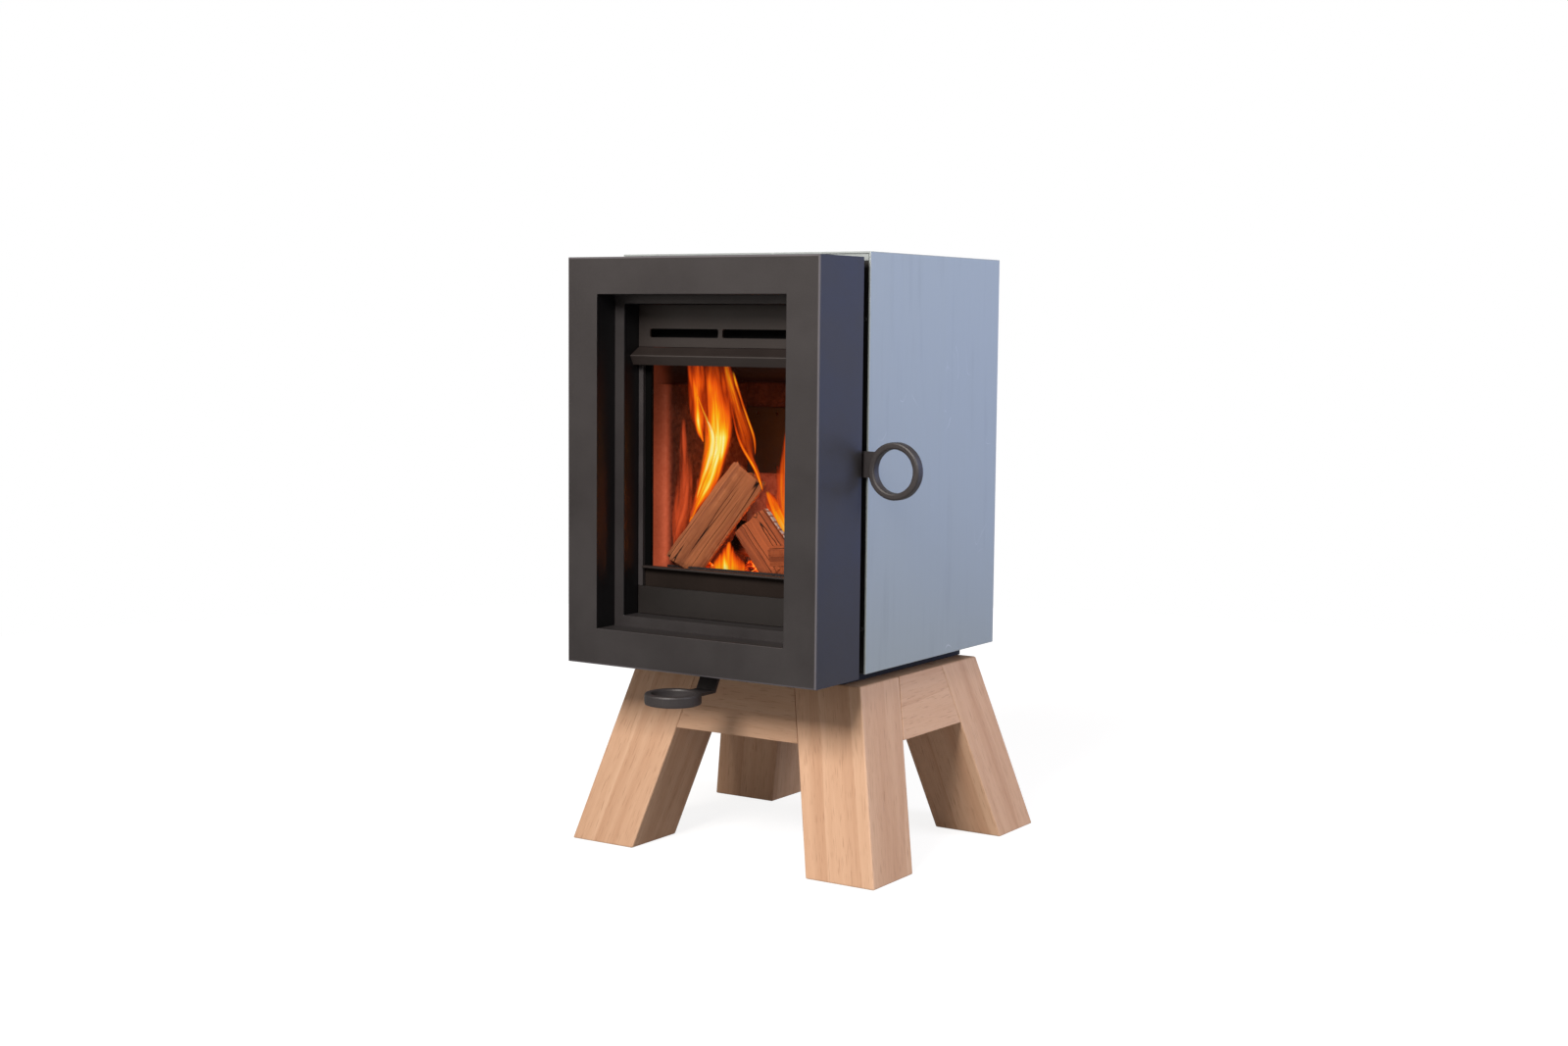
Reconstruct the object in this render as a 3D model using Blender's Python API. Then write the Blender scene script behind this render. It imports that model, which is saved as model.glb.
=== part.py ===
# Wood burning stove on a splayed oak stool.
# Metres, +Z up. x = 0 is the stove's middle plane, y = 0 the front of the door, z = 0 the floor,
# and everything hangs on one empty that puts the origin under the middle of the whole stove.
# Turning pieces hang on an empty that stands on their joint's axis.
import bpy
import bmesh
from math import acos, asin, atan2, cos, degrees, hypot, pi, radians, sin, sqrt
from mathutils import Vector

# Clearances
seatGap = 0.0003           # between two pieces that rest on each other
runGap = 0.0006            # around a piece that turns or slides

# Body
boxWidth = 0.400
casingHeight = 0.552
casingDepth = 0.362
casingSheet = 0.003
casingLip = 0.012          # turned down front edge of the casing's top
plinthHeight = 0.020
plinthHalfWidth = 0.157
plinthSheet = 0.0025
plinthFlange = 0.020
plinthBehindStool = 0.002
baseSheet = 0.003
coverSheet = 0.002
ventWidth = 0.044
ventHeight = 0.006
ventRadius = 0.0027
ventPitch = 0.056
ventCount = 5
ventMargin = 0.030         # from the cover's edge to a row of vents
frontPlateSheet = 0.003
frontPlateSetBack = 0.0006

# Stool
stoolHeight = 0.251
stoolHalfWidth = 0.1845    # at its top
stoolHalfDepth = 0.163     # at its top
stoolForward = 0.0045      # of the stool's middle in front of the casing's middle
splayAcross = 0.253        # outward run of a leg for each metre it goes down
splayAlong = 0.264
legAcross = 0.105
legAlong = 0.103
railHeight = 0.0825
railThickness = 0.040
woodEase = 0.002           # eased edges of the oak

# Door
doorDepth = 0.107
doorGap = 0.0165           # air gap between the door and the casing
doorBelowCasing = 0.004
doorUnderTop = 0.0077
doorSheet = 0.003
frameBorder = 0.0495
frameRadius = 0.0025       # bend at the frame's outer front edge
frameInnerRadius = 0.0008
firstReveal = 0.040
stepSide = 0.0155
stepTop = 0.012
stepBottom = 0.0145
stepFlange = 0.012         # of the inner frame, behind the first reveal
panelDepth = 0.072         # from the door's front to the fire panels
slotFromEnd = 0.0190       # from the upper panel's side to its slot
slotHeight = 0.0118
slotBridge = 0.0066        # between the two air slots
slotRadius = 0.0025
slotAboveNose = 0.0133
noseHeight = 0.0238
noseReach = 0.019
noseRise = 0.0127          # from the nose's lower edge to its ridge
noseBack = 0.0065          # the lower edge stands this far behind the ridge
noseUnderOpening = 0.058   # from the top of the inner opening to the nose's top
noseSheet = 0.003
noseBend = 0.001           # flat that breaks the nose's ridge
stileWidth = 0.0075
sillThickness = 0.003
sillReach = 0.003          # in front of the fire panels
lowerPanelHeight = 0.038
recessHeight = 0.0255      # of the set-back rail between the lower panel and the sill
glassFrameDepth = 0.007    # behind the fire panels
glassFrameSheet = 0.0025
glassFrameWidth = 0.0165
glassFrameOverlap = 0.006  # behind the upper and the lower panel, and above the nose's lower edge
glassUnderSill = 0.001     # from the sill down to the glass frame's opening
glassThickness = 0.004
glassOverlap = 0.008       # of the glass over its frame
gasketThickness = 0.002
gasketInset = 0.001
clipBite = 0.006           # of a clip over the glass
clipWidth = 0.060
clipHeight = 0.016
clipSheet = 0.002
sealWidth = 0.008
sealThickness = 0.005
sealChamfer = 0.0015

# Firebox
fireboxInset = 0.050       # from the box's side
fireboxDepth = 0.236
fireboxSheet = 0.004
fireboxUnder = 0.012       # below the door's inner opening
fireboxOver = 0.036        # above the door's inner opening
hearthChamber = 0.024      # air chamber under the hearth
hearthSheet = 0.003
hearthEdge = 0.014         # turned down front edge
hearthSetBack = 0.012      # from the firebox's mouth
brickThickness = 0.025
brickEase = 0.0015
brickSetBack = 0.004       # from the firebox's mouth to the side bricks
smokeRoom = 0.148          # from the bricks' top up to the firebox's top
baffleThickness = 0.025
baffleRise = 0.045
baffleLength = 0.165
baffleBarRadius = 0.005
baffleBarSetBack = 0.020
guardSetBack = 0.004
guardFoot = 0.018
guardHeight = 0.022
guardSheet = 0.003
flueRadius = 0.0625
flueWall = 0.0025
flueFlange = 0.018
flueFlangeSheet = 0.004
flueUnderTop = 0.078       # from the firebox's top down to the flue's axis
flueReach = 0.042          # behind the casing

# Hinge on the left, in the gap between the door and the casing
pinRadius = 0.003
pinHeadRadius = 0.0045
pinHeadHeight = 0.002
pinTip = 0.003             # above the door's lug
pinEdge = 0.0012           # chamfer of the pin's tip
pinInset = 0.007           # from the door's left side to the pin's axis
pinBehindDoor = 0.0066
lugRadius = 0.0055
lugThickness = 0.006
lugTailOut = 0.004         # from the pin's axis towards the box's side
lugTailIn = 0.010          # from the pin's axis towards the box's middle
hingeFromEnd = 0.115       # from the door's top and bottom to its hinges
bracketWidth = 0.022
bracketHeight = 0.030
bracketSheet = 0.0025

# Ring handle on the right, and the latch behind it
ringRadius = 0.0375
ringWall = 0.009
ringDepth = 0.015
ringEase = 0.0025
handleReach = 0.046        # from the box's side to the ring's middle
latchInset = 0.035         # from the box's side to the latch's axis
handleDrop = 0.009         # of the ring's middle below the latch's axis
latchHeight = 0.283        # above the door's bottom
leverThickness = 0.004
leverHeight = 0.034
leverDrop = 0.019          # from the latch's axis down to the lever's lower edge
leverHub = 0.014
leverNeck = 0.0098         # from the latch's axis to the tab's lower corner
leverShoulder = 0.0224     # from the latch's axis to the tab's upper corner
tongueChamfer = 0.003
tongueLength = 0.038
tongueWidth = 0.011
tongueOffset = 0.003       # from the latch's axis out to the tongue's outer side
keeperHeight = 0.016
keeperSheet = 0.0032
keeperLip = 0.014
keeperWidth = 0.028
keeperBelowTongue = 0.004
boltRadius = 0.004
boltLength = 0.012         # in front of the door's back face
boltHeadRadius = 0.0065
boltHeadHeight = 0.0035
boltEdge = 0.001           # chamfer around the bolt's head
spacerRadius = 0.008

# Air slide under the door
airRingBeforeDoor = 0.0305
airArmWidth = 0.030
airArmThickness = 0.004
airArmUnderDoor = 0.0243
airArmFlat = 0.043         # from the door's front to the start of the arm's slope
airArmSlope = 0.0106
airPlateRise = 0.0102      # from the stool's top to the top of the shutter
airTravel = 0.050
shutterHalfWidth = 0.065
shutterBehindPlinth = 0.028
shutterLead = 0.061        # solid part in front of the shutter's hole
shutterTail = 0.026
inletWidth = 0.100
inletDepth = 0.048
airBoxWall = 0.002
airBoxMargin = 0.022       # around the inlet
guideLip = 0.008
guideSheet = 0.0025

# Screws in the front plate
screwRadius = 0.003
screwHead = 0.002
screwEdge = 0.0008         # chamfer around a screw's head
screwInset = 0.0075        # from the box's side
screwFromTop = 0.087
screwFromBottom = 0.060

cutPast = 0.010            # how far a cutter runs past the sheet it cuts
roundSteps = 48            # around a large round piece
pinSteps = 24              # around a small one

# Places that follow from the sizes above
halfBox = boxWidth / 2
casingBottom = stoolHeight + plinthHeight
casingTop = casingBottom + casingHeight
casingFront = doorDepth + doorGap
casingBack = casingFront + casingDepth
plateFace = casingFront + frontPlateSetBack
stoolMiddle = casingFront + casingDepth / 2 - stoolForward
stoolFront = stoolMiddle - stoolHalfDepth
doorBottom = casingBottom - doorBelowCasing
doorTop = casingTop - doorUnderTop

openingHalf = halfBox - frameBorder
openingBottom = doorBottom + frameBorder
openingTop = doorTop - frameBorder
innerHalf = openingHalf - stepSide
innerBottom = openingBottom + stepBottom
innerTop = openingTop - stepTop
panelHalf = innerHalf - seatGap
slotWidth = panelHalf - slotFromEnd - slotBridge / 2

noseTop = innerTop - noseUnderOpening
noseBottom = noseTop - noseHeight
lowerPanelBottom = innerBottom + seatGap
lowerPanelTop = innerBottom + lowerPanelHeight
sillTop = lowerPanelTop + recessHeight + sillThickness
sillBottom = sillTop - sillThickness

fireboxHalfWidth = halfBox - fireboxInset
fireboxFront = doorDepth + sealThickness
fireboxBack = fireboxFront + fireboxDepth
fireboxBottom = innerBottom - doorSheet - fireboxUnder
fireboxTop = innerTop + doorSheet + fireboxOver
fireInside = fireboxHalfWidth - fireboxSheet
hearthTop = fireboxBottom + fireboxSheet + hearthChamber + hearthSheet
floorTop = hearthTop + seatGap + brickThickness
brickTop = fireboxTop - smokeRoom
flueHeight = fireboxTop - flueUnderTop

pinX = -halfBox + pinInset
pinY = doorDepth + pinBehindDoor
latchX = halfBox - latchInset
latchZ = doorBottom + latchHeight
handleX = halfBox + handleReach
handleZ = latchZ - handleDrop
gapMiddle = doorDepth + doorGap / 2
leverFront = gapMiddle + seatGap - leverThickness / 2
leverBack = leverFront + leverThickness

airArmTop = doorBottom - airArmUnderDoor
airPlateTop = stoolHeight + airPlateRise
shutterFront = stoolFront + shutterBehindPlinth
shutterHoleFront = shutterFront + shutterLead
shutterBack = shutterHoleFront + inletDepth + shutterTail
airBoxBottom = airPlateTop + seatGap
airBoxTop = fireboxBottom - seatGap
airBoxHalf = inletWidth / 2 + airBoxMargin
airBoxFront = shutterHoleFront - airBoxMargin
airBoxBack = shutterHoleFront + inletDepth + airBoxMargin

footLeft = -(stoolHalfWidth + splayAcross * stoolHeight)
footBack = stoolMiddle + stoolHalfDepth + splayAlong * stoolHeight
originX = -(footLeft + handleX + ringRadius) / 2
originY = -(footBack - airRingBeforeDoor - ringRadius) / 2

# Finishes: base colour, roughness, metallic
finishes = {
    "oak": ((0.68, 0.40, 0.22), 0.55, 0.0),
    "painted_steel": ((0.045, 0.043, 0.042), 0.50, 0.35),
    "black_steel": ((0.012, 0.012, 0.013), 0.60, 0.30),
    "brushed_steel": ((0.36, 0.42, 0.50), 0.40, 0.90),
    "cast_iron": ((0.060, 0.052, 0.050), 0.55, 0.40),
    "zinc_steel": ((0.45, 0.45, 0.44), 0.40, 0.90),
    "firebrick": ((0.42, 0.26, 0.17), 0.90, 0.0),
    "ceramic_glass": ((0.10, 0.05, 0.03), 0.05, 0.0),
    "seal_rope": ((0.05, 0.05, 0.05), 0.95, 0.0),
}


def emptyAt(name, place, parent):
    empty = bpy.data.objects.new(name, None)
    bpy.context.scene.collection.objects.link(empty)
    parentPlace = parent["place"] if parent else (-originX, -originY, 0.0)
    empty["place"] = place
    empty.location = Vector(place) - Vector(parentPlace)
    empty.parent = parent
    return empty


def addPiece(name, bm, finish, pivot, ease=0.0, easeSteps=1, smoothAngle=0.0):
    """Turn a mesh drawn in stove coordinates into an object that hangs on a pivot."""
    bmesh.ops.translate(bm, verts=bm.verts, vec=-Vector(pivot["place"]))
    bmesh.ops.recalc_face_normals(bm, faces=bm.faces)
    mesh = bpy.data.meshes.new(name)
    bm.to_mesh(mesh)
    bm.free()
    if smoothAngle:
        mesh.shade_smooth()
        mesh.set_sharp_from_angle(angle=radians(smoothAngle))
    piece = bpy.data.objects.new(name, mesh)
    bpy.context.scene.collection.objects.link(piece)
    piece.parent = pivot
    colour, roughness, metallic = finishes[finish]
    skin = bpy.data.materials.new(name + "_" + finish)
    skin.use_nodes = True
    shader = skin.node_tree.nodes["Principled BSDF"]
    shader.inputs["Base Color"].default_value = (*colour, 1.0)
    shader.inputs["Roughness"].default_value = roughness
    shader.inputs["Metallic"].default_value = metallic
    mesh.materials.append(skin)
    if ease:
        bevel = piece.modifiers.new("ease", "BEVEL")
        bevel.width = ease
        bevel.segments = easeSteps
        bevel.limit_method = "ANGLE"
        bevel.angle_limit = radians(30)
    return piece


def cut(piece, bm):
    """Take a closed mesh, drawn in stove coordinates, out of a piece."""
    bmesh.ops.translate(bm, verts=bm.verts, vec=-Vector(piece.parent["place"]))
    bmesh.ops.recalc_face_normals(bm, faces=bm.faces)
    name = piece.name + "_cutter"
    mesh = bpy.data.meshes.new(name)
    bm.to_mesh(mesh)
    bm.free()
    cutter = bpy.data.objects.new(name, mesh)
    bpy.context.scene.collection.objects.link(cutter)
    cutter.parent = piece.parent
    cutter.hide_render = True
    cutter.display_type = "WIRE"
    knife = piece.modifiers.new("cut", "BOOLEAN")
    knife.operation = "DIFFERENCE"
    knife.solver = "EXACT"
    knife.object = cutter


def boxMesh(x0, x1, y0, y1, z0, z1):
    return slabMesh([(x0, y0), (x1, y0), (x1, y1), (x0, y1)], "Z", z0, z1)


def slabMesh(outline, axis, low, high):
    """Extrude a flat outline along an axis: (x, y) pairs along Z, (x, z) along Y, (y, z) along X."""
    bm = bmesh.new()
    place = {
        "X": lambda p, a: (a, p[0], p[1]),
        "Y": lambda p, a: (p[0], a, p[1]),
        "Z": lambda p, a: (p[0], p[1], a),
    }[axis]
    near = [bm.verts.new(place(p, low)) for p in outline]
    face = bm.faces.new(near)
    grown = bmesh.ops.extrude_face_region(bm, geom=[face])
    far = [v for v in grown["geom"] if isinstance(v, bmesh.types.BMVert)]
    shift = Vector(place((0.0, 0.0), high)) - Vector(place((0.0, 0.0), low))
    bmesh.ops.translate(bm, verts=far, vec=shift)
    return bm


def loopMesh(loops, closed):
    """Skin a row of equally long vertex loops, as a ring of them or with both ends capped."""
    bm = bmesh.new()
    rows = [[bm.verts.new(point) for point in loop] for loop in loops]
    count = len(rows[0])
    pairs = list(zip(rows, rows[1:]))
    if closed:
        pairs.append((rows[-1], rows[0]))
    for one, other in pairs:
        for i in range(count):
            j = (i + 1) % count
            bm.faces.new((one[i], one[j], other[j], other[i]))
    if not closed:
        bm.faces.new(rows[0])
        bm.faces.new(rows[-1])
    return bm


def frameMesh(stations):
    """Rectangular frame facing the front: each station of its section is (half width, bottom, top, y)."""
    loops = []
    for half, low, high, y in stations:
        loops.append([(-half, y, low), (half, y, low), (half, y, high), (-half, y, high)])
    return loopMesh(loops, closed=True)


def trayMesh(stations):
    """Rectangular frame lying flat: each station of its section is (x0, x1, y0, y1, z)."""
    loops = []
    for x0, x1, y0, y1, z in stations:
        loops.append([(x0, y0, z), (x1, y0, z), (x1, y1, z), (x0, y1, z)])
    return loopMesh(loops, closed=True)


def turnedMesh(section, axis, centre, steps, closed=True):
    """Turn a section of (radius, distance along the axis) about an axis through centre."""
    loops = []
    for radius, along in section:
        loop = []
        for step in range(steps):
            angle = 2 * pi * step / steps
            a = radius * cos(angle)
            b = radius * sin(angle)
            if axis == "Y":
                loop.append((centre[0] + a, centre[1] + along, centre[2] + b))
            else:
                loop.append((centre[0] + a, centre[1] + b, centre[2] + along))
        loops.append(loop)
    return loopMesh(loops, closed)


def rodMesh(radius, axis, centre, low, high, steps=pinSteps):
    return turnedMesh([(radius, low), (radius, high)], axis, centre, steps, closed=False)


def arcPoints(centre, radius, start, end, steps):
    points = []
    for step in range(steps + 1):
        angle = radians(start + (end - start) * step / steps)
        points.append((centre[0] + radius * cos(angle), centre[1] + radius * sin(angle)))
    return points


def roundedOutline(x0, x1, y0, y1, radius, steps=3):
    points = []
    points += arcPoints((x1 - radius, y1 - radius), radius, 0, 90, steps)
    points += arcPoints((x0 + radius, y1 - radius), radius, 90, 180, steps)
    points += arcPoints((x0 + radius, y0 + radius), radius, 180, 270, steps)
    points += arcPoints((x1 - radius, y0 + radius), radius, 270, 360, steps)
    return points


def ringMesh(axis, centre):
    """Round pull ring with eased edges."""
    section = roundedOutline(ringRadius - ringWall, ringRadius, -ringDepth / 2, ringDepth / 2, ringEase, 2)
    return turnedMesh(section, axis, centre, roundSteps)


def inletMesh(height):
    """Cutter for the air inlet, through a sheet at a height."""
    return boxMesh(
        -inletWidth / 2, inletWidth / 2, shutterHoleFront, shutterHoleFront + inletDepth,
        height - cutPast, height + cutPast,
    )


# ---------------------------------------------------------------- stool

def legEdge(half, splay, z):
    return half + splay * (stoolHeight - z)


def makeStool(body):
    for across, sideX in (("left", -1), ("right", 1)):
        for along, sideY in (("front", -1), ("back", 1)):
            loops = []
            for z in (0.0, stoolHeight):
                outerX = sideX * legEdge(stoolHalfWidth, splayAcross, z)
                innerX = outerX - sideX * legAcross
                outerY = stoolMiddle + sideY * legEdge(stoolHalfDepth, splayAlong, z)
                innerY = outerY - sideY * legAlong
                loops.append([
                    (innerX, innerY, z), (outerX, innerY, z), (outerX, outerY, z), (innerX, outerY, z)
                ])
            leg = loopMesh(loops, closed=False)
            addPiece("leg_" + along + "_" + across, leg, "oak", body, woodEase, 2)

    railBottom = stoolHeight - railHeight
    for along, sideY in (("front", -1), ("back", 1)):
        loops = []
        for z in (railBottom, stoolHeight):
            half = legEdge(stoolHalfWidth - legAcross, splayAcross, z) - seatGap
            outer = stoolMiddle + sideY * legEdge(stoolHalfDepth, splayAlong, z)
            inner = outer - sideY * railThickness
            loops.append([(-half, inner, z), (half, inner, z), (half, outer, z), (-half, outer, z)])
        addPiece("rail_" + along, loopMesh(loops, closed=False), "oak", body, woodEase / 2, 2)
    for across, sideX in (("left", -1), ("right", 1)):
        loops = []
        for z in (railBottom, stoolHeight):
            half = legEdge(stoolHalfDepth - legAlong, splayAlong, z) - seatGap
            outer = sideX * legEdge(stoolHalfWidth, splayAcross, z)
            inner = outer - sideX * railThickness
            front = stoolMiddle - half
            back = stoolMiddle + half
            loops.append([(inner, front, z), (outer, front, z), (outer, back, z), (inner, back, z)])
        addPiece("rail_" + across, loopMesh(loops, closed=False), "oak", body, woodEase / 2, 2)


# ---------------------------------------------------------------- body

def makeCasing(body):
    # Plinth: a folded skirt with an inward foot, open for the air slide's arm.
    low = stoolHeight + seatGap
    high = casingBottom - seatGap
    front = stoolFront
    back = stoolMiddle + stoolHalfDepth + plinthBehindStool
    stations = []
    for inset, z in (
        (0.0, low), (plinthFlange, low), (plinthFlange, low + plinthSheet),
        (plinthSheet, low + plinthSheet), (plinthSheet, high), (0.0, high),
    ):
        half = plinthHalfWidth - inset
        stations.append((-half, half, front + inset, back - inset, z))
    plinth = addPiece("plinth", trayMesh(stations), "black_steel", body)
    slotHalf = airArmWidth / 2 + runGap * 2
    slotLow = airPlateTop - airArmThickness - runGap * 2
    slotHigh = airPlateTop + runGap * 2
    slotBack = front + plinthSheet + cutPast
    cut(plinth, boxMesh(-slotHalf, slotHalf, front - cutPast, slotBack, slotLow, slotHigh))

    inner = halfBox - casingSheet - seatGap
    baseBack = casingBack - coverSheet - seatGap
    base = addPiece(
        "base_plate",
        boxMesh(-inner, inner, casingFront, baseBack, casingBottom, casingBottom + baseSheet),
        "black_steel", body, 0.0005,
    )
    half = airBoxHalf + runGap
    low = casingBottom - cutPast
    high = casingBottom + cutPast
    cut(base, boxMesh(-half, half, airBoxFront - runGap, airBoxBack + runGap, low, high))

    # Casing: one sheet over both sides and the top, with the top's front edge turned down.
    bm = slabMesh(
        [
            (-halfBox, casingBottom), (-halfBox, casingTop), (halfBox, casingTop), (halfBox, casingBottom),
            (halfBox - casingSheet, casingBottom), (halfBox - casingSheet, casingTop - casingSheet),
            (-halfBox + casingSheet, casingTop - casingSheet), (-halfBox + casingSheet, casingBottom),
        ],
        "Y", casingFront, casingBack,
    )
    addPiece("casing", bm, "brushed_steel", body, 0.0008, 2)
    coverTop = casingTop - casingSheet - seatGap
    lipBack = casingFront + casingSheet
    lip = boxMesh(-inner, inner, casingFront, lipBack, casingTop - casingLip, coverTop)
    addPiece("top_lip", lip, "brushed_steel", body, 0.0004)

    # Rear cover with a flue hole and two rows of convection vents.
    cover = addPiece(
        "rear_cover", boxMesh(-inner, inner, casingBack - coverSheet, casingBack, casingBottom, coverTop),
        "painted_steel", body, 0.0004,
    )
    axisAt = (0.0, casingBack, flueHeight)
    cut(cover, rodMesh(flueRadius + runGap, "Y", axisAt, -cutPast, cutPast, roundSteps))
    for z in (casingBottom + ventMargin, coverTop - ventMargin):
        low = z - ventHeight / 2
        high = z + ventHeight / 2
        for i in range(ventCount):
            x = (i - (ventCount - 1) / 2) * ventPitch
            outline = roundedOutline(x - ventWidth / 2, x + ventWidth / 2, low, high, ventRadius)
            cut(cover, slabMesh(outline, "Y", casingBack - cutPast, casingBack + cutPast))

    # Front plate: closes the air space around the firebox.
    plateBack = plateFace + frontPlateSheet
    mouth = fireboxHalfWidth + runGap
    plateLow = casingBottom + baseSheet + seatGap
    plateHigh = casingTop - casingLip - seatGap
    addPiece(
        "front_plate",
        frameMesh([
            (inner, plateLow, plateHigh, plateFace), (inner, plateLow, plateHigh, plateBack),
            (mouth, fireboxBottom - runGap, fireboxTop + runGap, plateBack),
            (mouth, fireboxBottom - runGap, fireboxTop + runGap, plateFace),
        ]),
        "black_steel", body,
    )
    screwX = halfBox - screwInset
    screwZ = (casingBottom + screwFromBottom, casingTop - screwFromTop)
    number = 0
    for x in (-screwX, screwX):
        for z in screwZ:
            number += 1
            head = turnedMesh(
                [
                    (screwRadius, -seatGap), (screwRadius, screwEdge - screwHead),
                    (screwRadius - screwEdge, -screwHead),
                ],
                "Y", (x, plateFace, z), pinSteps, closed=False,
            )
            addPiece("front_screw_" + str(number), head, "black_steel", body, 0.0, 1, 40)


def makeFirebox(body):
    half = fireboxHalfWidth
    wall = fireboxSheet
    shell = boxMesh(-half, half, fireboxFront, fireboxBack, fireboxBottom, fireboxTop)
    box = addPiece("firebox", shell, "black_steel", body)
    cut(box, boxMesh(
        -fireInside, fireInside, fireboxFront - cutPast, fireboxBack - wall,
        fireboxBottom + wall, fireboxTop - wall,
    ))
    flueHole = rodMesh(
        flueRadius - flueWall, "Y", (0.0, fireboxBack, flueHeight), -cutPast, cutPast, roundSteps
    )
    cut(box, flueHole)
    cut(box, inletMesh(fireboxBottom))

    inside = fireInside - seatGap
    back = fireboxBack - wall - seatGap
    hearthLow = fireboxBottom + wall + seatGap
    hearthFront = fireboxFront + hearthSetBack
    bm = slabMesh(
        [
            (hearthFront, hearthTop), (back, hearthTop),
            (back, hearthLow), (back - hearthSheet, hearthLow),
            (back - hearthSheet, hearthTop - hearthSheet),
            (hearthFront + hearthSheet, hearthTop - hearthSheet),
            (hearthFront + hearthSheet, hearthTop - hearthEdge), (hearthFront, hearthTop - hearthEdge),
        ],
        "X", -inside, inside,
    )
    addPiece("hearth_plate", bm, "black_steel", body)

    brickFront = fireboxFront + brickSetBack
    backBrickFront = back - brickThickness
    sideBack = backBrickFront - seatGap
    sideInner = inside - brickThickness
    low = floorTop + seatGap
    bricks = {
        "brick_floor": (-inside, inside, brickFront, back, hearthTop + seatGap, floorTop),
        "brick_back": (-inside, inside, backBrickFront, back, low, brickTop),
        "brick_left": (-inside, -sideInner, brickFront, sideBack, low, brickTop),
        "brick_right": (sideInner, inside, brickFront, sideBack, low, brickTop),
    }
    for name, size in bricks.items():
        addPiece(name, boxMesh(*size), "firebrick", body, brickEase)

    # Baffle: rests on the back brick and on a bar, and rises towards the front.
    baffleFront = back - baffleLength
    low = brickTop + seatGap
    bm = slabMesh(
        [
            (back, low), (back, low + baffleThickness),
            (baffleFront, low + baffleThickness + baffleRise), (baffleFront, low + baffleRise),
        ],
        "X", -inside, inside,
    )
    addPiece("baffle_plate", bm, "firebrick", body, brickEase)
    slope = atan2(baffleRise, baffleLength)
    barY = baffleFront + baffleBarSetBack
    barTop = low + (back - barY) * baffleRise / baffleLength
    barZ = barTop - (baffleBarRadius + seatGap) / cos(slope)
    bar = rodMesh(baffleBarRadius, "Z", (0.0, 0.0, 0.0), -inside, inside)
    for v in bar.verts:
        v.co = Vector((v.co.z, barY + v.co.y, barZ + v.co.x))
    addPiece("baffle_bar", bar, "black_steel", body, 0.0, 1, 40)

    guardLow = floorTop + seatGap
    guardY = brickFront + guardSetBack
    guardHalf = sideInner - runGap
    guard = slabMesh(
        [
            (guardY, guardLow), (guardY, guardLow + guardHeight),
            (guardY + guardSheet, guardLow + guardHeight), (guardY + guardSheet, guardLow + guardSheet),
            (guardY + guardFoot, guardLow + guardSheet), (guardY + guardFoot, guardLow),
        ],
        "X", -guardHalf, guardHalf,
    )
    addPiece("log_guard", guard, "cast_iron", body)

    # Flue collar: flange on the firebox's back and a spigot through the rear cover.
    start = fireboxBack + seatGap
    section = [
        (flueRadius - flueWall, start), (flueRadius + flueFlange, start),
        (flueRadius + flueFlange, start + flueFlangeSheet), (flueRadius, start + flueFlangeSheet),
        (flueRadius, casingBack + flueReach), (flueRadius - flueWall, casingBack + flueReach),
    ]
    collar = turnedMesh(section, "Y", (0.0, 0.0, flueHeight), roundSteps)
    addPiece("flue_collar", collar, "cast_iron", body, 0.0, 1, 40)


def makeAirInlet(body):
    """Duct from under the base plate up to the firebox, and the guides that carry the shutter."""
    low = airBoxBottom
    half = airBoxHalf
    wall = airBoxWall
    walls = boxMesh(-half, half, airBoxFront, airBoxBack, low, airBoxTop)
    duct = addPiece("air_box", walls, "zinc_steel", body)
    cut(duct, boxMesh(
        -half + wall, half - wall, airBoxFront + wall, airBoxBack - wall, low + wall, airBoxTop + cutPast
    ))
    cut(duct, inletMesh(low))
    lipLow = stoolHeight + seatGap + plinthSheet + seatGap
    lipHigh = airPlateTop - airArmThickness - seatGap
    inner = shutterHalfWidth + runGap
    guideEnd = shutterBack + airTravel
    for side, name in ((-1, "air_guide_left"), (1, "air_guide_right")):
        guide = slabMesh(
            [
                (side * (inner - guideLip), lipLow), (side * (inner + guideSheet), lipLow),
                (side * (inner + guideSheet), airPlateTop), (side * inner, airPlateTop),
                (side * inner, lipHigh), (side * (inner - guideLip), lipHigh),
            ],
            "Y", shutterFront, guideEnd,
        )
        addPiece(name, guide, "zinc_steel", body)


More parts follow.
